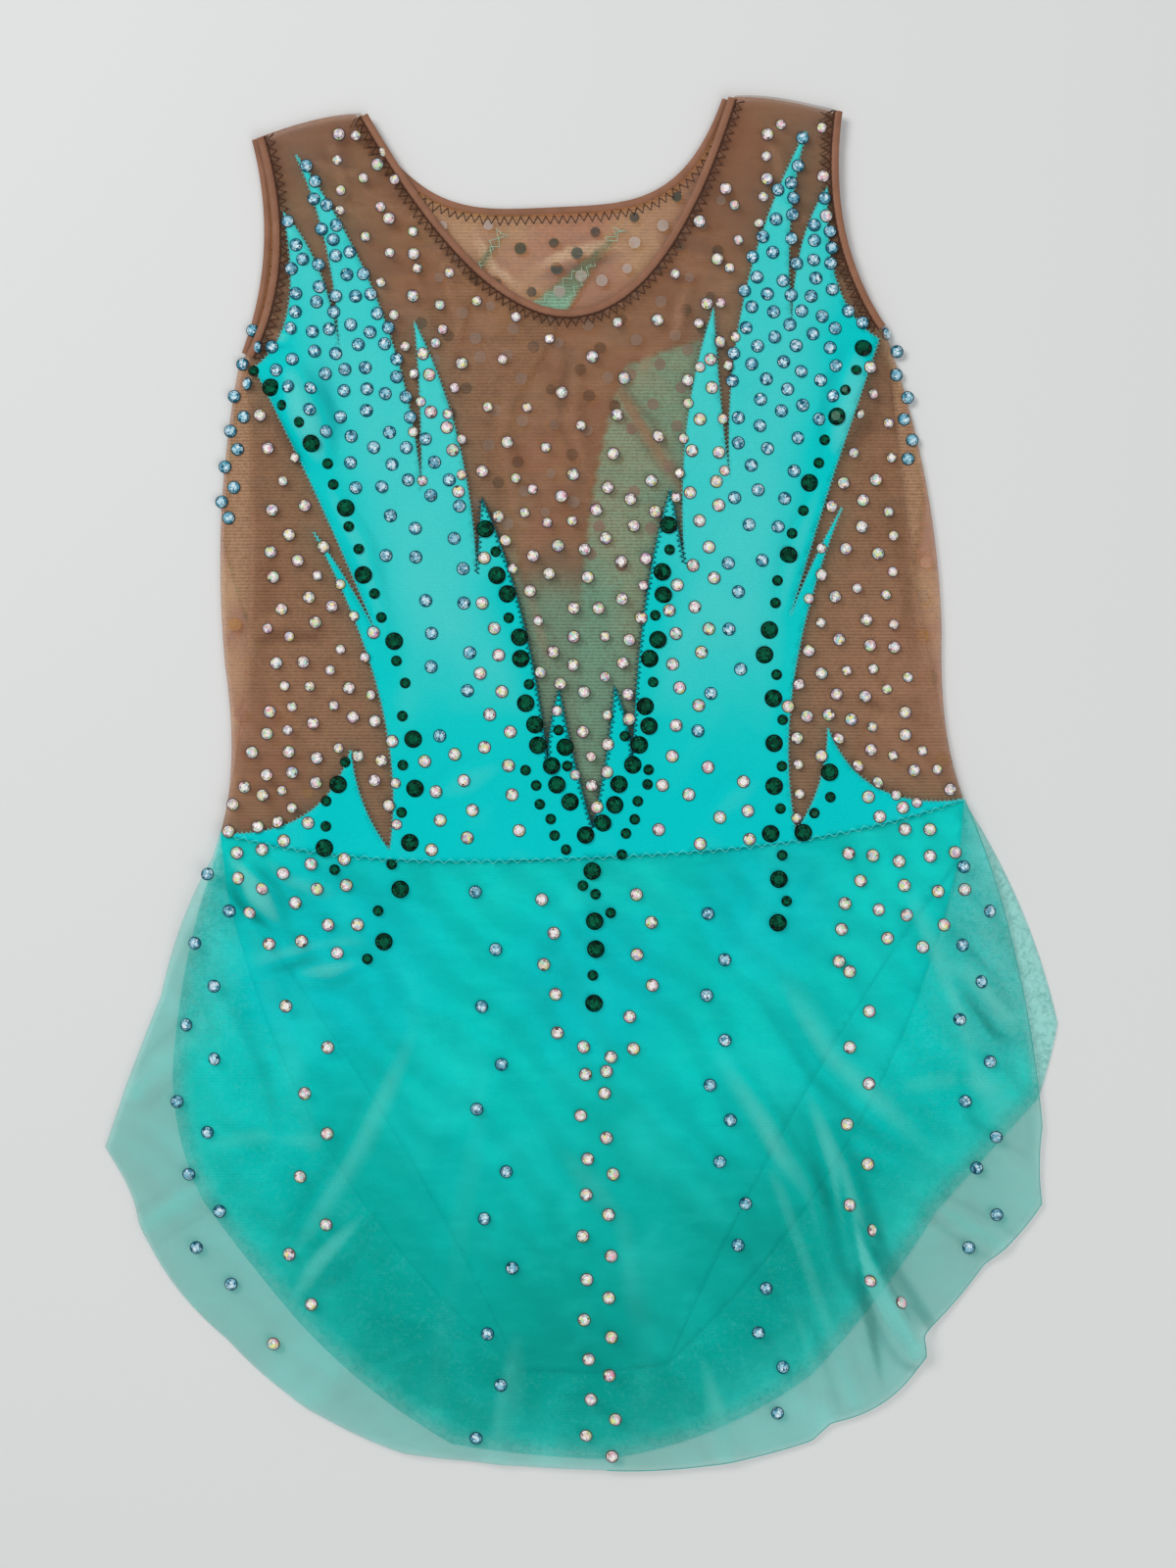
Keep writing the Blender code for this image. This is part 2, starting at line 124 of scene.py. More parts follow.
frontHem = [
    Edge("right edge", 162.0, -97.0, 5.0, 0.45),
    Edge("right corner", 162.0, -125.0, -1.0, 0.5),
    Edge("upper scallop", 141.0, -147.0, 1.5, 0.5),
    Edge("lower scallop", 119.0, -172.0, 1.0, 0.5),
    Edge("pleat end", 120.0, -179.5, 0.0, 0.5),
    Edge("pleat side", 86.0, -204.0, 5.0, 0.5),
    Edge("step", 79.0, -210.5, 0.0, 0.5),
    Edge("bottom", 5.0, -221.0, 3.5, 0.5),
    Edge("bottom left", -68.0, -215.0, 1.2, 0.5),
    Edge("left curve", -132.0, -174.0, 5.0, 0.5),
    Edge("left scallop", -164.0, -131.0, 3.5, 0.5),
    Edge("left notch", -171.5, -112.0, -1.0, 0.5),
    Edge("flare tip", -176.0, -104.5, 0.0, 0.5),
    Edge("left edge", -156.0, -50.0, 0.5, 0.5),
    Edge("left top", -137.0, 0.0, 2.0, 0.5),
]
backHem = [
    Edge("right flare", 168.0, -60.0, 4.0, 0.5),
    Edge("right corner", 161.0, -87.0, 0.5, 0.5),
    Edge("right hem", 124.0, -128.0, 0.0, 0.5),
    Edge("lower hem", 79.0, -187.0, 2.0, 0.5),
    Edge("bottom", 5.0, -217.5, 5.0, 0.5),
    Edge("bottom left", -51.0, -212.0, 1.0, 0.5),
    Edge("left hem", -108.0, -166.0, 3.0, 0.5),
    Edge("left curve", -141.0, -124.0, 0.5, 0.5),
    Edge("left side", -152.0, -80.0, 2.5, 0.5),
    Edge("left top", -136.5, 0.0, 3.0, 0.5),
]

# The folds of the solids come first, and finer creases listed after them
bodyFolds = [
    Fold("left chest", 11.0, 4.0, [(-110, 178), (-105, 162), (-97, 140)]),
    Fold("right chest", 11.0, 3.5, [(96, 185), (93, 163), (86, 143)]),
    Fold("chest diagonal", 4.0, 1.1, [(4, 174), (19, 154), (32, 133)]),
    Fold("left shoulder", 5.0, 0.7, [(-104, 252), (-78, 243)]),
    Fold("left neck", 4.5, 0.6, [(-55, 216), (-49, 196), (-48, 180)]),
    Fold("neck middle", 5.0, 0.5, [(-15, 190), (-12, 172)]),
    Fold("right neck", 4.5, 0.6, [(33, 205), (29, 186)]),
    Fold("right armhole", 4.5, 0.8, [(103, 196), (112, 168), (117, 140)]),
    Fold("left waist", 7.0, 0.9, [(-128, 82), (-112, 85), (-97, 83)]),
    Fold("right waist", 6.0, 0.8, [(124, 62), (106, 58), (92, 62)]),
    Fold("left flame crease", 6.0, 0.7, [(-99, 140), (-84, 112), (-74, 78)]),
    Fold("right flame crease", 6.0, 0.6, [(84, 140), (72, 108), (66, 82)]),
    Fold("left hip", 9.0, 0.6, [(-60, 20), (-32, 34)]),
    Fold("right hip", 9.0, 0.5, [(40, 12), (62, 30)]),
    Fold("below neck left", 6.0, 0.8, [(-30, 178), (-33, 150), (-28, 118)]),
    Fold("below neck middle", 5.0, 0.9, [(-6, 184), (-8, 158), (-2, 136)]),
    Fold("below neck right", 5.5, 0.7, [(22, 186), (16, 170)]),
    Fold("left shoulder strap", 5.0, 0.8, [(-96, 262), (-88, 236)]),
    Fold("right shoulder strap", 5.0, 0.8, [(62, 262), (70, 240)]),
    Fold("left armhole", 4.0, 0.9, [(-120, 190), (-108, 186)]),
    Fold("left side long", 5.0, 0.9, [(-126, 150), (-124, 110), (-126, 60), (-124, 30)]),
    Fold("right side long", 5.0, 0.8, [(112, 150), (118, 100), (122, 60)]),
    Fold("vee left", 5.0, 0.6, [(-24, 100), (-14, 62)]),
]
skirtFolds = [
    Fold("pleat", 9.5, 5.0, [(78, -86), (88, -112), (97, -145), (117, -176)], "start"),
    Fold("left flounce", 8.0, 3.5, [(-128, -3), (-121, -13), (-112, -25)]),
    Fold("left crease", 8.0, 2.0, [(-108, -42), (-83, -37)]),
    Fold("lower left crease", 9.0, 2.5, [(-79, -127), (-111, -161)]),
    Fold("right crease", 12.0, 2.4, [(118, -30), (138, -46), (158, -70)]),
    Fold("right hem wave", 12.0, 2.4, [(134, -66), (146, -90), (153, -116)]),
    Fold("pleat left side", 6.0, 0.7, [(58, -98), (74, -138), (94, -196)], "start"),
    Fold("pleat foot", 5.0, 0.4, [(70, -150), (84, -203)], "start"),
    Fold("above pleat", 10.0, 1.0, [(40, -70), (62, -96), (86, -128)]),
    Fold("left hip soft", 13.0, 1.2, [(-126, -12), (-112, -62), (-96, -118)]),
    Fold("left long", 14.0, 1.1, [(-60, -40), (-84, -104), (-118, -166)]),
    Fold("centre left drop", 13.0, 0.8, [(-36, -50), (-46, -120), (-58, -200)], "start"),
    Fold("centre drop", 15.0, 0.7, [(14, -56), (22, -122), (18, -205)], "start"),
    Fold("right drop", 12.0, 1.1, [(66, -30), (88, -74), (128, -112)]),
    Fold("right hip soft", 11.0, 1.3, [(112, -6), (132, -48), (150, -92)]),
    Fold("right side soft", 9.0, 1.1, [(134, -10), (158, -70)]),
    Fold("lower left edge", 8.0, 1.2, [(-132, -116), (-162, -134)], "start"),
    Fold("left edge wave", 8.0, 1.2, [(-136, -56), (-164, -84)], "start"),
    Fold("bottom wave", 10.0, 1.0, [(-24, -176), (-34, -219)], "start"),
    Fold("bottom right wave", 9.0, 1.0, [(40, -186), (48, -216)], "start"),
    Fold("right corner wave", 7.0, 1.2, [(118, -122), (150, -142)], "start"),
    Fold("lower left wave", 9.0, 1.0, [(-84, -176), (-104, -198)], "start"),
]
backFolds = [
    Fold("back neck", 6.0, 1.0, [(-22, 211), (-8, 217), (14, 221)]),
    Fold("back neck left", 4.0, 0.6, [(-44, 226), (-36, 212), (-24, 204)]),
    Fold("back neck right", 4.0, 0.5, [(20, 226), (28, 214)]),
]
backSkirtFolds = [
    Fold("under left", 12.0, 0.35, [(-90, -60), (-112, -120)]),
    Fold("under middle", 14.0, 0.35, [(-10, -50), (-6, -180)]),
    Fold("under right", 12.0, 0.35, [(96, -40), (120, -90)]),
]
skirtStep = {"margin": 8.0, "fall": 34.0}  # the skirt drops softly past the brief and the back skirt

# Sharp creases in painted light: a painted highlight along a crest, painted shade along the foot of one
Line = namedtuple("Line", "name strength width route")
skirtLines = [
    Line("pleat foot", -1.5, 1.5, [(87, -106), (91, -128), (97, -154), (105, -194)]),
    Line("pleat far foot", -1.2, 1.2, [(91, -124), (108, -156), (121, -180)]),
    Line("pleat crest", 0.75, 2.4, [(91, -128), (102, -158), (113, -186)]),
    Line("into the pleat", -0.55, 1.8, [(62, -84), (84, -122), (90, -136)]),
    Line("beside it", 0.25, 2.8, [(54, -86), (78, -124), (86, -146)]),
    Line("above it", 0.35, 3.2, [(40, -60), (62, -96), (74, -132)]),
    Line("flounce crest", 0.9, 2.2, [(-132, 2), (-126, -5), (-116, -17)]),
    Line("flounce foot", -0.55, 2.0, [(-136, -4), (-128, -16), (-116, -26)]),
    Line("hip crest", 0.55, 2.4, [(-124, -37), (-104, -33), (-80, -30)]),
    Line("hip foot", -0.6, 1.8, [(-126, -43), (-104, -38), (-82, -35)]),
    Line("lower left foot", -0.6, 1.6, [(-74, -122), (-102, -156)]),
    Line("lower left crest", 0.5, 2.6, [(-80, -120), (-110, -154)]),
    Line("left fold", -0.4, 3.0, [(-138, -40), (-118, -78), (-112, -112)]),
    Line("left pull", 0.35, 3.0, [(-146, -106), (-120, -100), (-90, -104)]),
    Line("right crease foot", -0.6, 2.0, [(128, -40), (144, -62), (158, -70)]),
    Line("right crease crest", 0.6, 2.6, [(132, -36), (148, -56), (160, -62)]),
    Line("right wave foot", -0.5, 2.2, [(132, -92), (146, -100), (158, -110)]),
    Line("right pull", 0.4, 3.4, [(104, -84), (128, -80), (150, -84)]),
    Line("middle pull", 0.25, 4.0, [(-20, -96), (10, -130), (16, -170)]),
    Line("left long pull", 0.4, 3.4, [(-60, -56), (-84, -104), (-112, -150)]),
    Line("left long foot", -0.4, 2.6, [(-68, -58), (-92, -106), (-120, -148)]),
    Line("right long pull", 0.4, 3.2, [(60, -34), (84, -70), (120, -104)]),
    Line("right long foot", -0.4, 2.4, [(54, -42), (78, -78), (114, -112)]),
    Line("right hip pull", 0.45, 2.8, [(110, -8), (128, -44), (140, -84)]),
    Line("left edge pull", 0.45, 2.6, [(-132, -112), (-150, -122), (-164, -132)]),
    Line("left top crest", 0.5, 2.4, [(-120, 0), (-110, -8), (-92, -14)]),
    Line("bottom pull", 0.4, 3.0, [(-26, -168), (-34, -196), (-36, -218)]),
    Line("bottom right pull", 0.4, 2.8, [(38, -176), (46, -200), (50, -216)]),
]
bodyLines = [
    Line("chest diagonal", -0.5, 1.7, [(2, 178), (19, 154), (34, 131)]),
    Line("left strap", -0.5, 1.6, [(-82, 246), (-66, 236), (-50, 232)]),
    Line("left strap crest", 0.6, 2.0, [(-84, 241), (-68, 231), (-52, 227)]),
    Line("left chest foot", -0.5, 2.4, [(-99, 182), (-95, 166), (-88, 148)]),
    Line("below the neck", -0.4, 2.2, [(-8, 186), (-12, 168), (-6, 148)]),
    Line("right of the neck", -0.4, 2.0, [(40, 214), (34, 196)]),
    Line("left side", -0.4, 1.8, [(-119, 150), (-116, 110), (-119, 60), (-116, 26)]),
    Line("left side crest", 0.4, 2.0, [(-123, 150), (-121, 110), (-123, 60)]),
    Line("right side", -0.4, 1.8, [(104, 150), (111, 100), (116, 60), (119, 30)]),
    Line("right strap", -0.5, 1.8, [(58, 250), (68, 236), (84, 232)]),
    Line("right strap crest", 0.6, 2.2, [(58, 244), (70, 231), (84, 227)]),
    Line("left of the neck", 0.6, 2.2, [(-62, 226), (-50, 208), (-36, 196)]),
    Line("left neck pull", -0.45, 1.8, [(-66, 218), (-58, 200), (-56, 184)]),
    Line("middle pull", 0.45, 2.6, [(-20, 180), (-22, 150), (-14, 124)]),
    Line("right neck pull", 0.5, 2.2, [(34, 208), (30, 192), (22, 178)]),
    Line("left waist pull", 0.5, 2.4, [(-126, 84), (-108, 88), (-92, 84)]),
    Line("left waist foot", -0.5, 2.0, [(-126, 78), (-108, 81), (-94, 78)]),
    Line("right waist pull", 0.5, 2.4, [(120, 66), (104, 61), (90, 64)]),
    Line("right waist foot", -0.45, 2.0, [(120, 59), (104, 55), (92, 58)]),
    Line("right armhole foot", -0.5, 1.8, [(100, 196), (108, 168), (112, 142)]),
]
backLines = [
    Line("neck crest", 0.9, 1.8, [(-24, 213), (-8, 219), (12, 224)]),
    Line("neck foot", -0.7, 1.5, [(-24, 208), (-6, 214), (14, 219)]),
    Line("neck left crest", 0.6, 1.6, [(-44, 228), (-36, 214), (-26, 206)]),
    Line("neck right foot", -0.5, 1.6, [(18, 228), (28, 216), (32, 206)]),
]


# Outlines

def bowed(start, edge):
    end = np.array((edge.across, edge.up))
    start = np.array(start)
    along = end - start
    length = float(np.hypot(*along))
    outward = np.array((-along[1], along[0])) / length
    middle = start + along * edge.at + outward * 2.0 * edge.bow
    count = max(1, round(length / cloth["edgeStep"]))
    t = (np.arange(1, count + 1) / count)[:, None]
    return (1 - t) ** 2 * start + 2 * t * (1 - t) * middle + t**2 * end


def runAlong(start, edges):
    points = [np.array([start], float)]
    for edge in edges:
        points.append(bowed(points[-1][-1], edge))
    return np.concatenate(points)


def neckRun(neck):
    t = np.linspace(-1, 1, 2 * round(1.3 * cut["neckHalf"] / cloth["edgeStep"]) + 1)
    across = cut["neckHalf"] * t + neck["shift"] * (1 - t**2)
    drop = cut["shoulderUp"] - neck["lowest"]
    return np.column_stack((across, neck["lowest"] + drop * np.abs(t) ** neck["power"]))


def hipSeam():
    t = np.linspace(1, 0, round(cut["hipHalf"] / cloth["edgeStep"]) + 1)
    return np.column_stack((cut["hipHalf"] * t, cut["hipUp"] * t ** cut["hipPower"]))


def inset(points, distance):
    along = np.gradient(points, axis=0)
    along /= np.maximum(np.hypot(along[:, 0], along[:, 1]), 1e-9)[:, None]
    return points + np.column_stack((along[:, 1], -along[:, 0])) * distance


def otherSide(points):
    return points[::-1] * (-1, 1)


def mirrored(half):
    return np.concatenate((half, otherSide(half)[1:-1]))


def lay(points, slide=0.0):
    across, up = np.asarray(points, float).T
    height = np.maximum(up, 0.0) / lying["height"]
    lean = lying["lean"] * height ** lying["power"] + slide * height
    return np.column_stack((across + lean, up + lying["tilt"] * across))


def bodyLoop(neck, armholeEdges, sideEdges, trim, slide=0.0):
    shoulder = runAlong(neck[-1], shoulderEdge)
    armhole = runAlong(shoulder[-1], armholeEdges)
    side = runAlong(armhole[-1], sideEdges)
    right = np.concatenate((shoulder[2:-1], inset(armhole, trim), side[2:-1], hipSeam()))
    return lay(np.concatenate((inset(neck, trim), right, otherSide(right)[1:])), slide)


def hipSeamAcross():
    return lay(np.concatenate((otherSide(hipSeam()[::-1])[:-1], hipSeam()[::-1])))


def skirtLoop(hem):
    seam = hipSeamAcross()
    return np.concatenate((seam, runAlong(seam[-1], hem)[1:]))


def flameLoop():
    first = flameEdges[0]
    half = runAlong((first.across, first.up), flameEdges[1:])[:-1]
    return lay(mirrored(np.concatenate((half, hipSeam()))))


def backLoop(edges):
    return lay(runAlong((edges[0].across, edges[0].up), edges[1:])[:-1], lying["backSlide"])


def briefLoop(legEdges):
    seam = hipSeam()[::-1] - (0.0, 0.3)
    return lay(mirrored(np.concatenate((seam, runAlong(seam[-1], legEdges)[1:]))))


# Distances and heights

def nearest(points, route, closed):
    points = np.asarray(points, float)
    route = np.asarray(route, float)
    ends = np.roll(route, -1, axis=0) if closed else route[1:]
    best = np.full(len(points), np.inf)
    place = np.zeros(len(points))
    walked = 0.0
    for a, b in zip(route, ends):
        along = b - a
        length = max(float(np.hypot(*along)), 1e-9)
        t = np.clip(((points - a) @ along) / length**2, 0, 1)
        distance = np.hypot(*(points - a - t[:, None] * along).T)
        closer = distance < best
        best[closer] = distance[closer]
        place[closer] = walked + t[closer] * length
        walked += length
    return best, place


def inside(points, loop):
    x, y = np.asarray(points, float).T
    found = np.zeros(len(x), bool)
    for (x0, y0), (x1, y1) in zip(loop, np.roll(loop, -1, axis=0)):
        if y0 != y1:
            found ^= ((y0 > y) != (y1 > y)) & (x < (x1 - x0) * (y - y0) / (y1 - y0) + x0)
    return found


def depthIn(points, loop):
    return np.where(inside(points, loop), nearest(points, loop, True)[0], 0.0)


def awayFrom(points, loop):
    return np.where(inside(points, loop), 0.0, nearest(points, loop, True)[0])


def routeLength(route):
    return float(np.hypot(*np.diff(np.array(route, float), axis=0).T).sum())


def smooth(value, low, high):
    t = np.clip((value - low) / (high - low), 0, 1)
    return t * t * (3 - 2 * t)


def rise(points, folds):
    total = np.zeros(len(points))
    for fold in folds:
        distance, place = nearest(points, fold.route, False)
        length = routeLength(fold.route)
        fade = smooth(place, -0.08 * length, 0.5 * length)
        if fold.fades == "both":
            fade = fade * smooth(length - place, -0.08 * length, 0.5 * length)
        width = fold.halfWidth * (0.55 + 0.45 * fade)
        share = np.clip(distance / width, 0, 1)
        total = np.maximum(total, fade * fold.height * np.cos(share * math.pi / 2) ** 2)
    return total


pucker = {"depth": 0.42, "wave": 6.4, "from": 2.0, "reach": 11.0}


def puckered(points, routes):
    total = np.zeros(len(points))
    for route in routes:
        distance, place = nearest(points, route, False)
        ripple = 0.5 + 0.5 * np.sin(place * 2 * math.pi / pucker["wave"] + np.sin(place * 0.31) * 1.7)
        total += pucker["depth"] * ripple * (1 - smooth(distance, pucker["from"], pucker["reach"]))
    return total


slackLook = {"depth": 0.7, "length": 34.0}
flareLook = {"depth": 1.1, "above": 70.0, "from": 95.0, "to": 270.0}


def slack(points):
    x, up = np.asarray(points, float).T
    length = slackLook["length"]
    first = np.sin(math.tau * (0.92 * x + 0.2 * up) / length + 1.3 * np.sin(math.tau * up / (2.3 * length)))
    second = np.sin(math.tau * (0.65 * up - 0.5 * x) / (0.8 * length) + 0.9 * np.sin(x / 11.0))
    return slackLook["depth"] * (0.5 + 0.32 * first + 0.18 * second)


def flare(points):
    x, up = np.asarray(points, float).T
    away = np.hypot(x, flareLook["above"] - up)
    turn = np.arctan2(x, flareLook["above"] - up)
    wave = 0.6 * np.sin(turn * 17 + 0.9 * np.sin(away / 31) + 0.6) + 0.4 * np.sin(
        turn * 31 + 1.4 * np.sin(away / 47) + 2.0)
    return flareLook["depth"] * smooth(away, flareLook["from"], flareLook["to"]) * (0.5 + 0.5 * wave)


frontNeckRun = neckRun(cut["frontNeck"])
backNeckRun = neckRun(cut["backNeck"])
frontArmholeRun = runAlong(runAlong(frontNeckRun[-1], shoulderEdge)[-1], frontArmhole)
backArmholeRun = runAlong(runAlong(backNeckRun[-1], shoulderEdge)[-1], backArmhole)
frontEdgeRuns = [lay(frontNeckRun), lay(frontArmholeRun), lay(otherSide(frontArmholeRun))]
loops = {
    "frontMesh": bodyLoop(frontNeckRun, frontArmhole, frontSide, 2.0),
    "backMesh": bodyLoop(backNeckRun, backArmhole, backSide, 2.0, lying["backSlide"]),
    "frontFlames": flameLoop(),
    "backFlameLeft": backLoop(backFlameLeft),
    "backFlameRight": backLoop(backFlameRight),
    "briefFront": briefLoop(frontLeg),
    "briefBack": briefLoop(backLeg),
    "frontSkirt": skirtLoop(frontHem),
    "backSkirt": skirtLoop(backHem),
}


def frontRise(points):
    return rise(points, bodyFolds) + puckered(points, frontEdgeRuns) + slack(points)


def skirtRise(points):
    return rise(points, skirtFolds) + flare(points) + 0.5 * slack(points)


# Painted crease lines: a positive strength adds a painted highlight, a negative one painted shade
def paintedCreaseLinesOf(points, lines):
    total = np.zeros(len(points))
    for line in lines:
        distance, place = nearest(points, line.route, False)
        length = routeLength(line.route)
        fade = smooth(place, -0.05 * length, 0.35 * length)
        fade = fade * smooth(length - place, -0.05 * length, 0.3 * length)
        total += line.strength * fade * np.exp(-(distance / line.width) ** 2)
    return total


# The crest measure: how far a point stands above its neighbours, plus the painted crease lines; it sets the
# painted fold highlight and shade, and the fold opacity
def crestOf(heightOf, reach=3.2, gain=2.6, lines=()):
    def measure(points):
        turns = np.arange(6) * math.tau / 6
        around = sum(heightOf(points + reach * np.array((math.cos(t), math.sin(t)))) for t in turns) / 6
        return np.clip(np.tanh(gain * (heightOf(points) - around)) + paintedCreaseLinesOf(points, lines), -1, 1)
    return measure


def skirtHeight(points):
    apart = [awayFrom(points, loops[name]) for name in ("briefFront", "briefBack")]
    underBack = awayFrom(points, loops["backSkirt"])
    margin, fall = skirtStep["margin"], skirtStep["margin"] + skirtStep["fall"]
    overBrief = 1 - smooth(np.minimum(*apart), margin, fall)
    overBack = 1 - smooth(underBack, margin, fall)
    level = np.maximum(layers["outerFront"] * overBrief, layers["back"] * overBack)
    return level + skirtRise(points)


# Cloth shells

def netOf(loop, step):
    low, high = loop.min(axis=0), loop.max(axis=0)
    across, up = np.meshgrid(
        np.arange(low[0], high[0], step), np.arange(low[1], high[1], step * math.sqrt(3) / 2)
    )
    across[1::2] += step / 2
    grid = np.column_stack((across.ravel(), up.ravel()))
    grid = grid[inside(grid, loop)]
    grid = grid[nearest(grid, loop, True)[0] > 0.45 * cloth["edgeStep"]]
    points = np.concatenate((loop, grid))
    ring = list(range(len(loop)))[::-1]  # the loops run clockwise, and a face runs the other way
    found = delaunay_2d_cdt([Vector(p) for p in points], [], [ring], 1, 1e-4)
    corners = np.array([tuple(p) for p in found[0]])
    return corners, [tri for tri, owner in zip(found[2], found[5]) if owner]


def shell(name, loop, heightOf, material, values):
    corners, triangles = netOf(loop, netSteps[name])
    places = np.column_stack((corners + hipMiddle, heightOf(corners))) * mm
    mesh = bpy.data.meshes.new(name)
    mesh.from_pydata(places.tolist(), [], triangles)
    for label, measure in values.items():
        attribute = mesh.attributes.new(label, "FLOAT", "POINT")
        attribute.data.foreach_set("value", measure(corners).astype(np.float32))
    mesh.shade_smooth()
    mesh.materials.append(material)
    piece = bpy.data.objects.new(name, mesh)
    bpy.context.scene.collection.objects.link(piece)
    wall = piece.modifiers.new("wall", "SOLIDIFY")
    wall.thickness = cloth["wall"] * mm
    wall.offset = 1.0
    return piece


# Node trees

def addNode(tree, kind, inputs=None, **settings):
    made = tree.nodes.new(kind)
    for name, value in settings.items():
        setattr(made, name, value)
    for name, value in (inputs or {}).items():
        socket = made.inputs[name]
        if isinstance(value, bpy.types.NodeSocket):
            tree.links.new(value, socket)
        else:
            socket.default_value = value
    return made


def attributeOf(tree, label):
    return addNode(tree, "ShaderNodeAttribute", attribute_name=label).outputs["Fac"]


def mixed(tree, factor, first, second, blend="MIX"):
    return addNode(
        tree, "ShaderNodeMix", {0: factor, 6: first, 7: second}, data_type="RGBA", blend_type=blend
    ).outputs[2]


def counted(tree, operation, first, second, clamp=False):
    return addNode(
        tree, "ShaderNodeMath", {0: first, 1: second}, operation=operation, use_clamp=clamp
    ).outputs[0]


def objectPlace(tree):
    return addNode(tree, "ShaderNodeTexCoord").outputs["Object"]


def noiseOf(tree, place, scale, detail=2.0, distortion=0.0):
    return addNode(
        tree, "ShaderNodeTexNoise",
        {"Vector": place, "Scale": scale, "Detail": detail, "Distortion": distortion},
    ).outputs["Fac"]


def streaksOf(tree, place, scale, stretch):
    flattened = vectorMath(tree, "MULTIPLY", place, (1.0, stretch, 1.0))
    return noiseOf(tree, flattened, scale, 3.0)


def spread(tree, value, low, high, toLow=0.0, toHigh=1.0):
    return addNode(
        tree, "ShaderNodeMapRange", {0: value, 1: low, 2: high, 3: toLow, 4: toHigh}
    ).outputs[0]


def washed(tree, base, value, low, high, share, tone):
    return mixed(tree, spread(tree, value, low, high, 0.0, share), base, tone)


def newMaterial(name, roughness, **constants):
    material = bpy.data.materials.new(name)
    material.use_nodes = True
    tree = material.node_tree
    shader = tree.nodes["Principled BSDF"]
    shader.inputs["Roughness"].default_value = roughness
    shader.inputs["Metallic"].default_value = 0.0
    for label, value in constants.items():
        shader.inputs[label.replace("_", " ")].default_value = value
    return material, tree, shader


def bump(tree, shader, height, strength, distance):
    made = addNode(tree, "ShaderNodeBump", {"Height": height, "Strength": strength, "Distance": distance})
    tree.links.new(made.outputs["Normal"], shader.inputs["Normal"])


# Painted fold light: towards pale where the crest measure is high, a painted highlight on ridges, and towards
# dark where it is low, painted shade in troughs
def foldLightAndShade(tree, base, pale, dark, share):
    crest = attributeOf(tree, "crest")
    base = washed(tree, base, crest, 0.05, 1.0, share, pale)
    return washed(tree, base, crest, -0.05, -1.0, share, dark)


def knit(tree, place, ribs, noiseScale):
    wave = addNode(
        tree, "ShaderNodeTexWave",
        {"Vector": place, "Scale": ribs, "Distortion": 2.5, "Detail": 1.0, "Detail Scale": 6.0},
        bands_direction="Y",
    ).outputs["Fac"]
    return counted(tree, "ADD", counted(tree, "MULTIPLY", wave, 0.5), noiseOf(tree, place, noiseScale))


# crest and goldCrest are painted highlights on ridges, dark and backDark painted shade in troughs; crest also
# tints the streaks and the paler side spots, and dark also the knit, the streaks, the edge band and the
# shoulders
meshLook = {
    "front": {"base": (0.46, 0.215, 0.090, 1), "shade": (0.36, 0.168, 0.074, 1), "alpha": 0.238},
    "back": {"base": (0.70, 0.275, 0.092, 1), "shade": (0.52, 0.195, 0.066, 1), "alpha": 0.408},
    "red": (0.40, 0.150, 0.078, 1), "grey": (0.24, 0.150, 0.095, 1), "dark": (0.15, 0.062, 0.036, 1),
    "crest": (0.62, 0.33, 0.20, 1), "gold": (0.76, 0.42, 0.15, 1), "goldCrest": (0.95, 0.62, 0.34, 1),
    "overspray": (0.115, 0.235, 0.175, 1), "pale": (0.50, 0.29, 0.18, 1),
    "hidden": (0.62, 0.35, 0.20, 1), "behind": (0.46, 1.0, 0.70, 1), "behindHigh": (0.24, 0.26, 0.15, 1),
    "backDark": (0.26, 0.10, 0.04, 1), "coveredAlpha": 0.68, "foldAlpha": 0.15,
    "roughness": 0.62, "ribs": 260.0, "grain": 900.0,
}


Wash = namedtuple("Wash", "noise low high share tone")
# Random washes of tone over the front mesh; the pale dabs and the streaks also stand for a painted sheen and
# painted shade of small wrinkles
frontWashes = [
    Wash("dabs", 0.5, 0.75, 0.7, "pale"),
    Wash("patches", 0.50, 0.66, 0.75, "red"),
    Wash("patches", 0.48, 0.34, 0.75, "grey"),
    Wash("streaks", 0.52, 0.72, 0.55, "crest"),
    Wash("streaks", 0.48, 0.30, 0.45, "dark"),
]


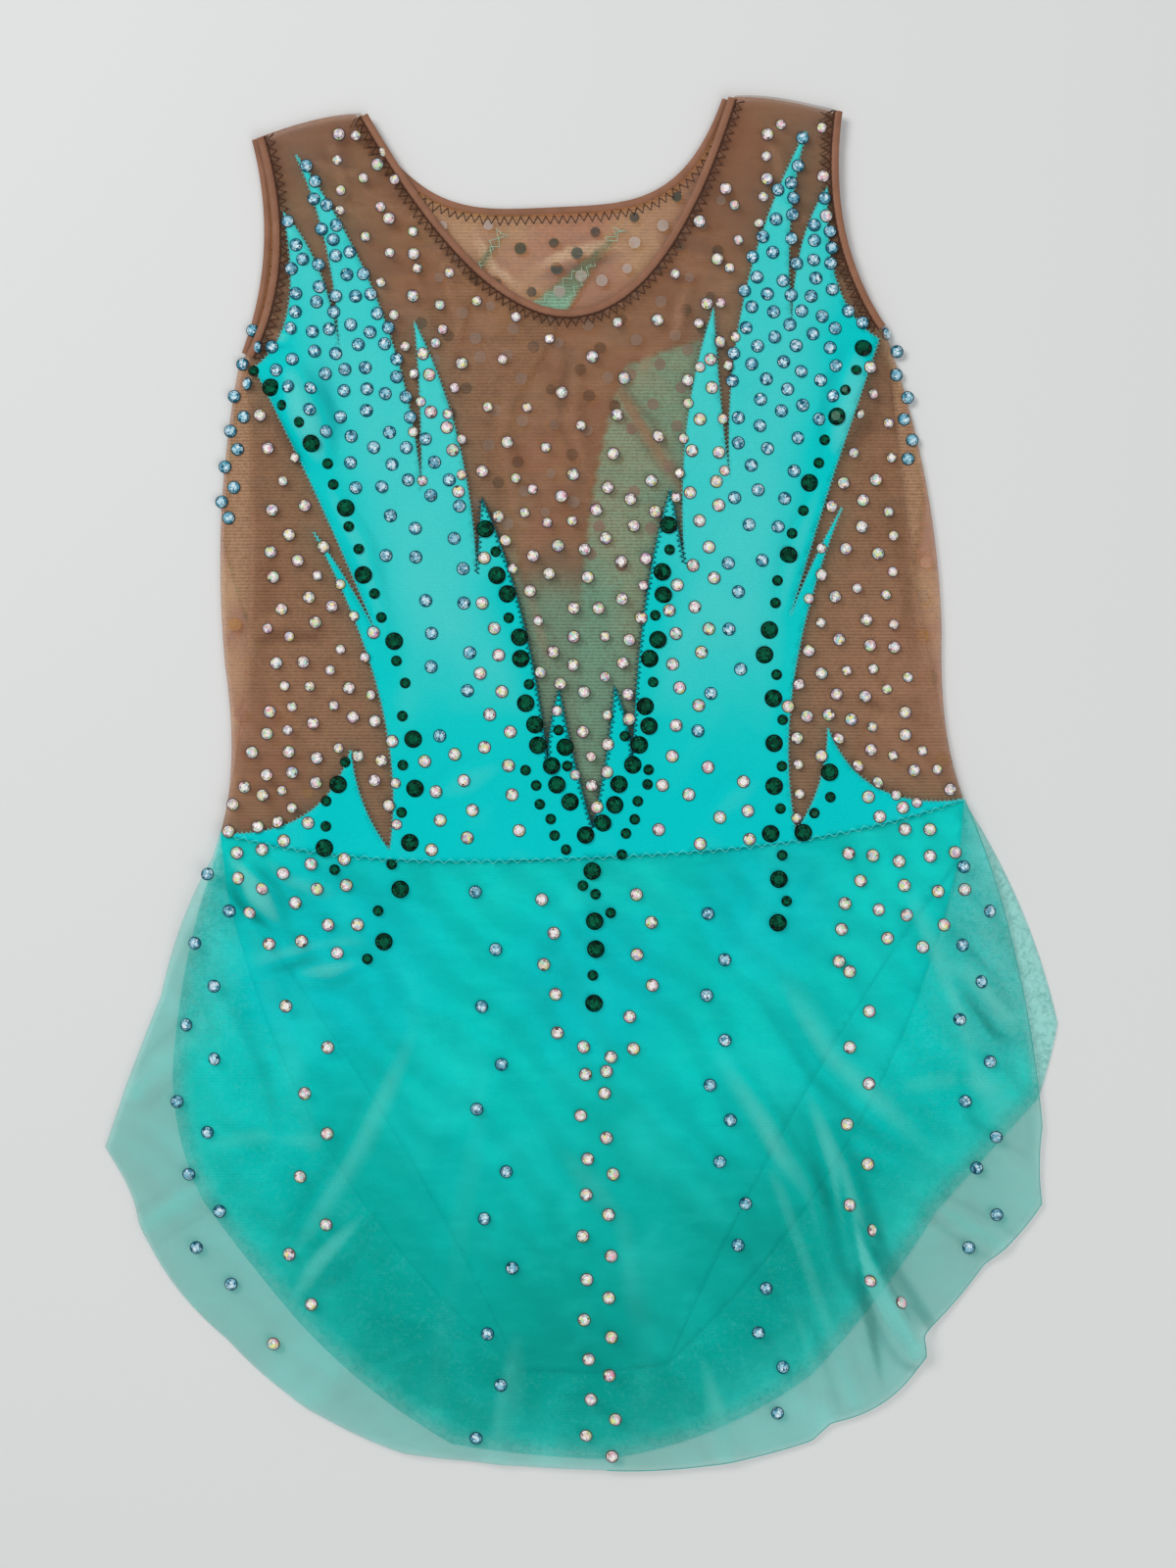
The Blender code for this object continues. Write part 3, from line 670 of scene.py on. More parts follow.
def meshMaterial(name, look):
    material, tree, shader = newMaterial(
        name, meshLook["roughness"], Alpha=look["alpha"], Specular_IOR_Level=0.1
    )
    place = objectPlace(tree)
    clouds = spread(tree, noiseOf(tree, place, 26.0, 3.0), 0.35, 0.68)
    grain = knit(tree, place, meshLook["ribs"], meshLook["grain"])
    base = mixed(tree, clouds, look["base"], look["shade"])
    if name == "frontMeshCloth":
        noises = {
            "patches": noiseOf(tree, place, 55.0, 4.0, 1.2), "dabs": noiseOf(tree, place, 20.0, 3.0, 0.8),
            "streaks": streaksOf(tree, place, 48.0, 5.0),
        }
        for wash in frontWashes:
            base = washed(
                tree, base, noises[wash.noise], wash.low, wash.high, wash.share, meshLook[wash.tone]
            )
        tone = attributeOf(tree, "tone")
        base = mixed(tree, spread(tree, tone, 0.0, 1.0), base, meshLook["crest"])
        base = mixed(tree, spread(tree, tone, 0.0, -1.0), base, meshLook["dark"])
        base = mixed(tree, attributeOf(tree, "overspray"), base, meshLook["overspray"])
        base = mixed(tree, counted(tree, "MULTIPLY", attributeOf(tree, "band"), 0.34), base, meshLook["dark"])
        base = foldLightAndShade(tree, base, meshLook["crest"], meshLook["dark"], 0.8)
        doubled = counted(tree, "ABSOLUTE", attributeOf(tree, "crest"), 0.0)
        alpha = spread(tree, doubled, 0.1, 1.0, look["alpha"], look["alpha"] + meshLook["foldAlpha"])
    else:
        tan = noiseOf(tree, place, 30.0, 2.0, 0.8)
        base = washed(tree, base, tan, 0.45, 0.65, 0.7, meshLook["gold"])
        base = foldLightAndShade(tree, base, meshLook["goldCrest"], meshLook["backDark"], 0.9)
        covers = attributeOf(tree, "covers")
        behind = mixed(tree, attributeOf(tree, "high"), meshLook["behind"], meshLook["behindHigh"])
        tone = mixed(tree, attributeOf(tree, "behind"), meshLook["hidden"], behind)
        base = mixed(tree, covers, base, tone)
        alpha = spread(tree, covers, 0.0, 1.0, look["alpha"], meshLook["coveredAlpha"])
    tree.links.new(alpha, shader.inputs["Alpha"])
    base = washed(tree, base, grain, 0.5, 1.2, 0.6, meshLook["dark"])
    tree.links.new(base, shader.inputs["Base Color"])
    bump(tree, shader, grain, 0.4, 0.0003)
    return material


# crest is a painted highlight on ridges and crease painted shade in troughs; pale is the painted sheen along
# the sheen routes
lycraLook = {
    "pale": (0.070, 0.71, 0.685, 1), "middle": (0.005, 0.68, 0.66, 1), "deep": (0.0, 0.67, 0.675, 1),
    "crest": (0.16, 0.74, 0.70, 1), "crease": (0.0, 0.36, 0.38, 1), "between": (0.0, 0.32, 0.32, 1),
    "roughness": 0.48, "ribs": 420.0, "grain": 1300.0,
}


def lycraMaterial(name):
    material, tree, shader = newMaterial(name, lycraLook["roughness"], Specular_IOR_Level=0.04)
    place = objectPlace(tree)
    cloud = spread(tree, noiseOf(tree, place, 38.0, 3.0), 0.3, 0.7, -0.12, 0.12)
    deep = counted(tree, "ADD", attributeOf(tree, "deep"), cloud, True)
    grain = knit(tree, place, lycraLook["ribs"], lycraLook["grain"])
    # Pale where the deep measure is low, a painted sheen
    base = mixed(tree, spread(tree, deep, 0.0, 0.6), lycraLook["pale"], lycraLook["middle"])
    base = mixed(tree, spread(tree, deep, 0.55, 1.0), base, lycraLook["deep"])
    base = foldLightAndShade(tree, base, lycraLook["crest"], lycraLook["crease"], 0.7)
    base = washed(tree, base, grain, 0.4, 1.3, 0.26, lycraLook["between"])
    tree.links.new(base, shader.inputs["Base Color"])
    bump(tree, shader, grain, 0.3, 0.0002)
    return material


# crest is a painted highlight on ridges and crease painted shade in troughs
skirtLook = {
    "top": (0.0, 0.88, 0.82, 1), "low": (0.0, 0.53, 0.44, 1), "bloom": (0.0, 0.82, 0.86, 1),
    "light": (0.03, 1.0, 0.91, 1), "dark": (0.0, 0.56, 0.49, 1), "fringe": (0.34, 0.96, 0.88, 1),
    "frayed": (0.10, 1.0, 0.92, 1),
    "underTop": (0.0, 0.94, 0.89, 1), "underLow": (0.0, 0.54, 0.45, 1),
    "moire": (0.0, 0.36, 0.30, 1), "between": (0.0, 0.34, 0.29, 1),
    "crest": (0.22, 0.88, 0.80, 1), "crease": (0.0, 0.26, 0.22, 1),
    "alpha": 0.28, "hemAlpha": 0.25, "underAlpha": 0.86, "underEdge": 0.28, "foldAlpha": 0.17,
    "briefShade": (0.88, 0.88, 0.88, 1),
    "roughness": 0.55, "ribs": 300.0, "grain": 800.0,
}


def turquoiseOf(tree, place, grain, top, low):
    moire = addNode(
        tree, "ShaderNodeTexWave",
        {"Vector": place, "Scale": 30.0, "Distortion": 7.0, "Detail": 2.0, "Detail Scale": 0.7},
        bands_direction="DIAGONAL",
    ).outputs["Fac"]
    drop = counted(
        tree, "ADD", attributeOf(tree, "drop"),
        spread(tree, noiseOf(tree, place, 16.0, 3.0), 0.3, 0.7, -0.25, 0.25), True,
    )
    base = mixed(tree, drop, skirtLook[top], skirtLook[low])
    base = mixed(tree, attributeOf(tree, "bloom"), base, skirtLook["bloom"])
    base = washed(tree, base, moire, 0.2, 0.9, 0.16, skirtLook["moire"])
    base = washed(tree, base, grain, 0.5, 1.2, 0.30, skirtLook["between"])
    clouds, streaks = noiseOf(tree, place, 24.0, 3.0, 1.0), streaksOf(tree, place, 90.0, 3.0)
    for tones, share in ((clouds, 0.28), (streaks, 0.12)):
        base = washed(tree, base, tones, 0.50, 0.72, share, skirtLook["light"])
        base = washed(tree, base, tones, 0.48, 0.30, share, skirtLook["dark"])
    return base


def skirtMaterial(name, under):
    material, tree, shader = newMaterial(name, skirtLook["roughness"], Specular_IOR_Level=0.08)
    place = objectPlace(tree)
    grain = knit(tree, place, skirtLook["ribs"], skirtLook["grain"])
    hem = attributeOf(tree, "hem")
    if under:
        base = turquoiseOf(tree, place, grain, "underTop", "underLow")
        weave = spread(tree, noiseOf(tree, place, 200.0, 3.0, 0.6), 0.3, 0.7, 0.45, 0.85)
        frayed = counted(tree, "MULTIPLY", attributeOf(tree, "frayed"), weave)
        base = mixed(tree, frayed, base, skirtLook["frayed"])
        tatters = spread(tree, noiseOf(tree, place, 420.0, 3.0, 1.5), 0.3, 0.7, -0.16, 0.16)
        ragged = counted(tree, "ADD", hem, tatters, True)
        base = mixed(tree, spread(tree, ragged, 0.15, 1.0, 0.85, 0.0), base, skirtLook["fringe"])
        # Painted shade of small crinkles near the back skirt's edge
        crinkle = spread(tree, noiseOf(tree, place, 300.0, 3.0, 2.0), 0.45, 0.62, 0.0, 0.8)
        crinkle = counted(tree, "MULTIPLY", crinkle, spread(tree, hem, 0.0, 1.0, 1.0, 0.0))
        base = mixed(tree, crinkle, base, skirtLook["dark"])
        alpha = spread(tree, ragged, 0.1, 0.75, skirtLook["underEdge"], skirtLook["underAlpha"])
    else:
        base = turquoiseOf(tree, place, grain, "top", "low")
        base = foldLightAndShade(tree, base, skirtLook["crest"], skirtLook["crease"], 0.75)
        doubled = counted(tree, "ABSOLUTE", attributeOf(tree, "crest"), 0.0)
        alpha = counted(
            tree, "ADD", spread(tree, hem, 0.0, 1.0, skirtLook["hemAlpha"], skirtLook["alpha"]),
            spread(tree, doubled, 0.15, 1.0, 0.0, skirtLook["foldAlpha"]), True,
        )
    tree.links.new(base, shader.inputs["Base Color"])
    tree.links.new(alpha, shader.inputs["Alpha"])
    bump(tree, shader, grain, 0.3, 0.0003)
    return material


def briefMaterial():
    material, tree, shader = newMaterial("briefJersey", 0.5, Specular_IOR_Level=0.1)
    place = objectPlace(tree)
    grain = knit(tree, place, lycraLook["ribs"], lycraLook["grain"])
    base = turquoiseOf(tree, place, grain, "underTop", "underLow")  # so no hard line shows through the skirt
    tree.links.new(mixed(tree, 1.0, base, skirtLook["briefShade"], "MULTIPLY"), shader.inputs["Base Color"])
    bump(tree, shader, grain, 0.3, 0.0002)
    return material


def threadMaterial(name, color):
    material, tree, shader = newMaterial(name, 0.5, Specular_IOR_Level=0.1)
    place = objectPlace(tree)
    dark = tuple(channel * 0.6 for channel in color[:3]) + (1,)
    base = mixed(tree, spread(tree, noiseOf(tree, place, 1500.0), 0.3, 0.7, 0.0, 0.5), color, dark)
    tree.links.new(base, shader.inputs["Base Color"])
    return material


bindingLook = {
    "width": 2.8, "thickness": 1.3, "frontLift": 0.8, "backLift": 0.15, "roughness": 0.55, "sheen": 0.15,
    "pale": (0.33, 0.148, 0.082, 1), "dark": (0.20, 0.085, 0.047, 1),
}


def bindingMaterial():
    material, tree, shader = newMaterial(
        "bindingSatin", bindingLook["roughness"], Specular_IOR_Level=0.25, Sheen_Weight=bindingLook["sheen"]
    )
    place = objectPlace(tree)
    cloud = spread(tree, noiseOf(tree, place, 120.0, 3.0), 0.3, 0.7, 0.0, 0.6)
    base = mixed(tree, cloud, bindingLook["pale"], bindingLook["dark"])
    tree.links.new(base, shader.inputs["Base Color"])
    bump(tree, shader, noiseOf(tree, place, 700.0), 0.25, 0.0003)
    return material


# Stone colours by facet: the blue and green hues are the stones' own, the spread from dark to bright across
# facets is painted reflection, painted shade on the girdle and painted glints on the table and crown; flash
# is a painted rainbow reflection on some facets
stoneLook = {
    "clear": {"stops": [(0.0, (0.04, 0.03, 0.03, 1)), (0.12, (0.15, 0.10, 0.095, 1)),
                        (0.3, (0.36, 0.27, 0.27, 1)), (0.55, (0.76, 0.63, 0.65, 1)),
                        (0.8, (1.0, 0.95, 0.95, 1))],
              "flash": [(0.0, (0.92, 0.36, 0.50, 1)), (0.2, (0.96, 0.62, 0.72, 1)),
                        (0.4, (0.95, 0.88, 0.22, 1)), (0.6, (0.50, 0.86, 0.36, 1)),
                        (0.8, (0.36, 0.76, 0.76, 1)), (1.0, (0.55, 0.34, 0.66, 1))],
              "flashShare": 0.40},
    "blue": {"stops": [(0.0, (0.0, 0.030, 0.050, 1)), (0.12, (0.002, 0.08, 0.12, 1)),
                       (0.3, (0.01, 0.14, 0.23, 1)), (0.55, (0.06, 0.31, 0.44, 1)),
                       (0.8, (0.32, 0.66, 0.79, 1)), (1.0, (0.74, 0.91, 0.97, 1))],
             "flash": [(0.0, (0.0, 0.05, 0.10, 1)), (0.5, (0.18, 0.52, 0.68, 1)),
                       (1.0, (0.88, 0.95, 1.0, 1))],
             "flashShare": 0.40},
    "green": {"stops": [(0.0, (0.0, 0.003, 0.002, 1)), (0.3, (0.0, 0.012, 0.007, 1)),
                        (0.6, (0.0, 0.040, 0.019, 1)), (1.0, (0.001, 0.13, 0.06, 1))],
              "flash": [(0.0, (0.0, 0.006, 0.004, 1)), (1.0, (0.002, 0.13, 0.06, 1))],
              "flashShare": 0.3},
    "roughness": 0.12, "level": {"clear": 0.25, "blue": 0.18, "green": 0.12},
}


def rampOf(tree, value, stops):
    made = addNode(tree, "ShaderNodeValToRGB", {"Fac": value})
    ramp = made.color_ramp
    while len(ramp.elements) < len(stops):
        ramp.elements.new(0.5)
    for element, (place, color) in zip(ramp.elements, stops):
        element.position = place
        element.color = color
    return made.outputs["Color"]


def stoneMaterial(kind):
    look = stoneLook[kind]
    material, tree, shader = newMaterial(
        kind + "Crystal", stoneLook["roughness"], Specular_IOR_Level=stoneLook["level"][kind]
    )
    facetLight, tint = attributeOf(tree, "facetLight"), attributeOf(tree, "tint")
    mark = addNode(tree, "ShaderNodeCombineXYZ", {0: facetLight, 1: tint})
    scatterNode = addNode(
        tree, "ShaderNodeTexWhiteNoise", {"Vector": mark.outputs[0]}, noise_dimensions="3D"
    )
    change = spread(tree, scatterNode.outputs["Value"], 0.0, 1.0, -0.22, 0.22)
    change = counted(tree, "MULTIPLY", change, spread(tree, facetLight, 0.1, 0.2))
    bright = counted(tree, "ADD", facetLight, change, True)
    base = rampOf(tree, bright, look["stops"])
    # A painted flash of reflected colour on some bright facets
    colors = addNode(tree, "ShaderNodeSeparateColor", {0: scatterNode.outputs["Color"]})
    flash = rampOf(tree, colors.outputs[1], look["flash"])
    lit = spread(tree, colors.outputs[2], 1.0 - look["flashShare"], 1.0 - look["flashShare"] + 0.02)
    lit = counted(tree, "MULTIPLY", lit, spread(tree, facetLight, 0.12, 0.2))
    tree.links.new(mixed(tree, lit, base, flash), shader.inputs["Base Color"])
    return material


# Geometry Nodes: sewn threads, bindings and crystals

def newTree(name, sockets):
    tree = bpy.data.node_groups.new(name, "GeometryNodeTree")
    tree.interface.new_socket("Geometry", in_out="INPUT", socket_type="NodeSocketGeometry")
    for label, kind in sockets:
        tree.interface.new_socket(label, in_out="INPUT", socket_type="NodeSocket" + kind)
    tree.interface.new_socket("Geometry", in_out="OUTPUT", socket_type="NodeSocketGeometry")
    return tree, addNode(tree, "NodeGroupInput").outputs


def endTree(tree, geometry, material):
    real = addNode(tree, "GeometryNodeRealizeInstances", {"Geometry": geometry})
    painted = addNode(
        tree, "GeometryNodeSetMaterial", {"Geometry": real.outputs[0], "Material": material}
    )
    addNode(tree, "NodeGroupOutput", {"Geometry": painted.outputs[0]})
    return tree


def vectorMath(tree, operation, first, second):
    kind = {"SCALE": "Scale"}.get(operation, 1)
    return addNode(
        tree, "ShaderNodeVectorMath", {0: first, kind: second}, operation=operation
    ).outputs[0]


def zigzagTree():
    tree, given = newTree(
        "zigzagThread",
        [("Half Pitch", "Float"), ("Reach", "Float"), ("Thread", "Float"), ("Material", "Material")],
    )
    path = addNode(tree, "GeometryNodeMeshToCurve", {"Mesh": given["Geometry"]})
    points = addNode(
        tree, "GeometryNodeResampleCurve",
        {"Curve": path.outputs[0], "Length": given["Half Pitch"]}, mode="LENGTH",
    )
    tangent = addNode(tree, "GeometryNodeInputTangent").outputs[0]
    sideways = vectorMath(tree, "CROSS_PRODUCT", tangent, (0.0, 0.0, 1.0))
    number = addNode(tree, "GeometryNodeInputIndex").outputs[0]
    even = counted(tree, "MULTIPLY", counted(tree, "MODULO", number, 2.0), 2.0)
    swing = counted(tree, "MULTIPLY", counted(tree, "SUBTRACT", even, 1.0), given["Reach"])
    wander = addNode(
        tree, "FunctionNodeRandomValue", {2: 0.75, 3: 1.25, "ID": number, "Seed": 7}, data_type="FLOAT"
    ).outputs[1]
    swing = counted(tree, "MULTIPLY", swing, wander)
    moved = addNode(
        tree, "GeometryNodeSetPosition",
        {"Geometry": points.outputs[0], "Offset": vectorMath(tree, "SCALE", sideways, swing)},
    )
    profile = addNode(
        tree, "GeometryNodeCurvePrimitiveCircle", {"Resolution": 5, "Radius": given["Thread"]}
    )
    thread = addNode(
        tree, "GeometryNodeCurveToMesh",
        {"Curve": moved.outputs[0], "Profile Curve": profile.outputs[0], "Fill Caps": True},
    )
    return endTree(tree, thread.outputs[0], given["Material"])


def bindingTree():
    tree, given = newTree(
        "foldedBinding", [("Width", "Float"), ("Thickness", "Float"), ("Material", "Material")]
    )
    path = addNode(tree, "GeometryNodeMeshToCurve", {"Mesh": given["Geometry"]})
    upright = addNode(
        tree, "GeometryNodeSetCurveNormal", {"Curve": path.outputs[0]}, mode="Z_UP"
    )
    ring = addNode(tree, "GeometryNodeCurvePrimitiveCircle", {"Resolution": 14, "Radius": 0.5})
    sizes = addNode(
        tree, "ShaderNodeCombineXYZ", {0: given["Width"], 1: given["Thickness"], 2: 1.0}
    )
    profile = addNode(
        tree, "GeometryNodeTransform", {"Geometry": ring.outputs[0], "Scale": sizes.outputs[0]}
    )
    strip = addNode(
        tree, "GeometryNodeCurveToMesh",
        {"Curve": upright.outputs[0], "Profile Curve": profile.outputs[0], "Fill Caps": True},
    )
    return endTree(tree, strip.outputs[0], given["Material"])


def crystalTree():
    tree, given = newTree("crystals", [("Stone", "Object"), ("Material", "Material")])
    stone = addNode(tree, "GeometryNodeObjectInfo", {"Object": given["Stone"]})
    size, facing, turn = [
        addNode(tree, "GeometryNodeInputNamedAttribute", {"Name": label}, data_type=kind).outputs[0]
        for label, kind in (("size", "FLOAT_VECTOR"), ("facing", "FLOAT_VECTOR"), ("turn", "FLOAT"))
    ]
    spun = addNode(
        tree, "FunctionNodeAxisAngleToRotation", {"Axis": (0.0, 0.0, 1.0), "Angle": turn}
    ).outputs[0]
    aimed = addNode(
        tree, "FunctionNodeAlignRotationToVector", {"Rotation": spun, "Vector": facing}, axis="Z"
    ).outputs[0]
    placed = addNode(
        tree, "GeometryNodeInstanceOnPoints",
        {"Points": given["Geometry"], "Instance": stone.outputs["Geometry"], "Rotation": aimed,
         "Scale": size},
    )
    return endTree(tree, placed.outputs[0], given["Material"])


def growFrom(name, mesh, tree, inputs):
    piece = bpy.data.objects.new(name, mesh)
    bpy.context.scene.collection.objects.link(piece)
    modifier = piece.modifiers.new("grow", "NODES")
    modifier.node_group = tree
    for item in tree.interface.items_tree:
        if item.in_out == "INPUT" and item.name in inputs:
            modifier[item.identifier] = inputs[item.name]
    graph = bpy.context.evaluated_depsgraph_get()
    made = bpy.data.meshes.new_from_object(piece.evaluated_get(graph))
    piece.modifiers.clear()
    piece.data = made
    made.name = name
    return piece


def pathMesh(name, runs, heightOf):
    places, links = [], []
    for points in runs:
        start = len(places)
        places += (np.column_stack((points + hipMiddle, heightOf(points))) * mm).tolist()
        links += [(start + i, start + i + 1) for i in range(len(points) - 1)]
    mesh = bpy.data.meshes.new(name)
    mesh.from_pydata(places, links, [])
    return mesh


# Colour measures along the cloth

# The flames are paler along these routes, a painted sheen, and deeper towards the hip seam below them
sheenRoutes = {
    "halfWidth": 17.0, "fade": 19.0, "core": 0.3, "deepFoot": (12.0, 95.0), "least": 0.04, "range": 0.92,
    "routes": [
        [(88, 236), (80, 205), (68, 165), (52, 100), (44, 52)], [(54, 190), (51, 150), (48, 110)],
    ],
}


def deepOf(points):
    least = np.full(len(points), np.inf)
    for route in sheenRoutes["routes"]:
        half = np.array(route, float)
        for laid in (lay(half), lay(otherSide(half))):
            least = np.minimum(least, nearest(points, laid, False)[0])
    half = sheenRoutes["halfWidth"]
    deep = smooth(least, half * sheenRoutes["core"], half + sheenRoutes["fade"])
    low = 1 - smooth(points[:, 1], *sheenRoutes["deepFoot"])
    return np.clip(np.maximum(deep, low) * sheenRoutes["range"] + sheenRoutes["least"], 0, 1)


spray = {"edge": 0.55, "fall": 7.0, "vee": 0.8, "route": [(0, 8), (-5, 50), (-11, 88)], "reach": (11.0, 34.0)}


def oversprayOf(points):
    away = awayFrom(points, loops["frontFlames"])
    vee = 1 - smooth(nearest(points, spray["route"], False)[0], *spray["reach"])
    return np.maximum(spray["edge"] * np.exp(-away / spray["fall"]), spray["vee"] * vee)


bloom = {"share": 0.75, "core": 0.35, "spots": [((-95, -35), 55.0), ((0, -45), 42.0), ((62, -15), 38.0)]}


def bloomOf(points):
    total = np.zeros(len(points))
    for middle, reach in bloom["spots"]:
        away = np.hypot(*(points - middle).T)
        total = np.maximum(total, bloom["share"] * (1 - smooth(away, reach * bloom["core"], reach)))
    return total


# The skirt deepens downwards where it is doubled, and has one even tone where it is single
dropLook = {"down": (30.0, 205.0), "doubled": (0.0, 12.0), "single": 0.62, "singleDown": (-8.0, 30.0)}


def dropOf(points):
    return smooth(-points[:, 1], *dropLook["down"])


# Where the doubled skirt is thinnest, how far that reaches, and the share that is left
thinHips = [
    ([(136, 8), (149, -24), (157, -48)], 48.0, 0.12), ([(-137, 4), (-146, -34), (-150, -56)], 26.0, 0.3),
]


fringe = {"own": 9.0, "front": 5.0, "thinCore": 2.0}  # widths over which the back skirt's edge thins out


def backHemOf(points):
    own = nearest(points, loops["backSkirt"], True)[0] / fringe["own"]
    front = depthIn(points, loops["frontSkirt"]) / fringe["front"]
    thick = smooth(np.minimum(own, front), 0.0, 1.0)
    for route, reach, least in thinHips:
        away = nearest(points, route, False)[0]
        thick = np.minimum(thick, least + (1 - least) * smooth(away, fringe["thinCore"], reach))
    return thick


frayedLook = {"reach": (7.0, 25.0), "least": 0.35, "across": (10.0, 70.0), "down": (50.0, 90.0)}


def frayedOf(points):
    away = nearest(points, loops["backSkirt"], True)[0]
    right = smooth(points[:, 0], *frayedLook["across"]) * smooth(-points[:, 1], *frayedLook["down"])
    least = frayedLook["least"]
    return (1 - smooth(away, *frayedLook["reach"])) * (least + (1 - least) * right)


toneLook = {  # paler at two spots on the sides, darker towards the shoulders
    "middle": 0.15, "core": 10.0, "spots": [((112, 66), 62.0, 0.6), ((-112, 60), 50.0, 0.2)],
    "shoulders": (190.0, 240.0), "shoulderShade": 0.5, "band": (5.2, 6.8),
}


def toneOf(points):
    tone = toneLook["middle"] - toneLook["shoulderShade"] * smooth(points[:, 1], *toneLook["shoulders"])
    for middle, reach, share in toneLook["spots"]:
        away = np.hypot(*(points - middle).T)
        tone = tone + share * (1 - smooth(away, toneLook["core"], reach))
    return tone


def bandOf(points):
    least = np.min([nearest(points, route, False)[0] for route in frontEdgeRuns], axis=0)
    return 1 - smooth(least, *toneLook["band"])


def doubledDropOf(points):
    doubled = smooth(depthIn(points, loops["backSkirt"]), *dropLook["doubled"])
    single = dropLook["single"] * (1 - doubled) * smooth(-points[:, 1], *dropLook["singleDown"])
    return dropOf(points) * doubled + single


# What lies behind the back mesh: the back flames, and a haze of turquoise in the vee
behindLook = {
    "edge": (0.0, 1.2), "haze": 0.85, "hazeRoute": [(-1, 8), (-8, 48), (-15, 82)], "hazeReach": (10.0, 27.0),
    "left": (88.0, 122.0), "sides": (42.0, 58.0), "neck": (184.0, 200.0), "high": (190.0, 212.0),
    "band": (1.2, 2.8), "bandShare": 0.7, "bandRoute": [(4, 176), (19, 154), (34, 130)],
}


def coversOf(points):
    total = np.zeros(len(points))
    for name in ("backFlameLeft", "backFlameRight"):
        total = np.maximum(total, smooth(depthIn(points, loops[name]), *behindLook["edge"]))
    haze = 1 - smooth(nearest(points, behindLook["hazeRoute"], False)[0], *behindLook["hazeReach"])
    return np.maximum(total, behindLook["haze"] * haze)


def behindOf(points):
    right = inside(points, loops["backFlameRight"])
    strength = np.where(right, 1.0, 1 - smooth(points[:, 1], *behindLook["left"]))
    middle = lay(np.column_stack((np.zeros(len(points)), points[:, 1])))[:, 0]
    strength = strength * (1 - smooth(np.abs(points[:, 0] - middle), *behindLook["sides"]))
    band = 1 - smooth(nearest(points, behindLook["bandRoute"], False)[0], *behindLook["band"])
    strength = strength * (1 - behindLook["bandShare"] * band)
    neck = smooth(points[:, 1], *behindLook["neck"]) * ~inside(points, loops["frontMesh"])
    return np.maximum(strength, neck)


def highOf(points):
    return smooth(points[:, 1], *behindLook["high"])


def hemOf(loop, reach):
    def measure(points):
        return smooth(nearest(points, loop, True)[0], 0.0, reach)
    return measure


# Cloth pieces

def legRise(points, name, height):
    within = depthIn(points, loops[name])
    hip = smooth(points[:, 1], *brief["hip"])
    return height * np.maximum(smooth(within, 0.0, brief["legReach"]), hip)


def briefHeight(points):
    return brief["level"] + rise(points, backSkirtFolds) + legRise(points, "briefBack", brief["backLeg"])


def flat(level):
    return lambda points: np.full(len(points), level)


meshFront = meshMaterial("frontMeshCloth", meshLook["front"])
meshBack = meshMaterial("backMeshCloth", meshLook["back"])
flameLycra = lycraMaterial("flameJersey")
briefJersey = briefMaterial()
skirtFrontCloth = skirtMaterial("frontSkirtMesh", False)
skirtBackCloth = skirtMaterial("backSkirtMesh", True)
bindingSatin = bindingMaterial()
brownThread = threadMaterial("brownThread", (0.085, 0.036, 0.022, 1))
paleThread = threadMaterial("paleThread", (0.14, 0.92, 0.90, 1))
tealThread = threadMaterial("tealThread", (0.0, 0.085, 0.11, 1))
mintThread = threadMaterial("mintThread", (0.50, 0.74, 0.56, 1))
hemThread = threadMaterial("hemThread", (0.08, 0.52, 0.47, 1))


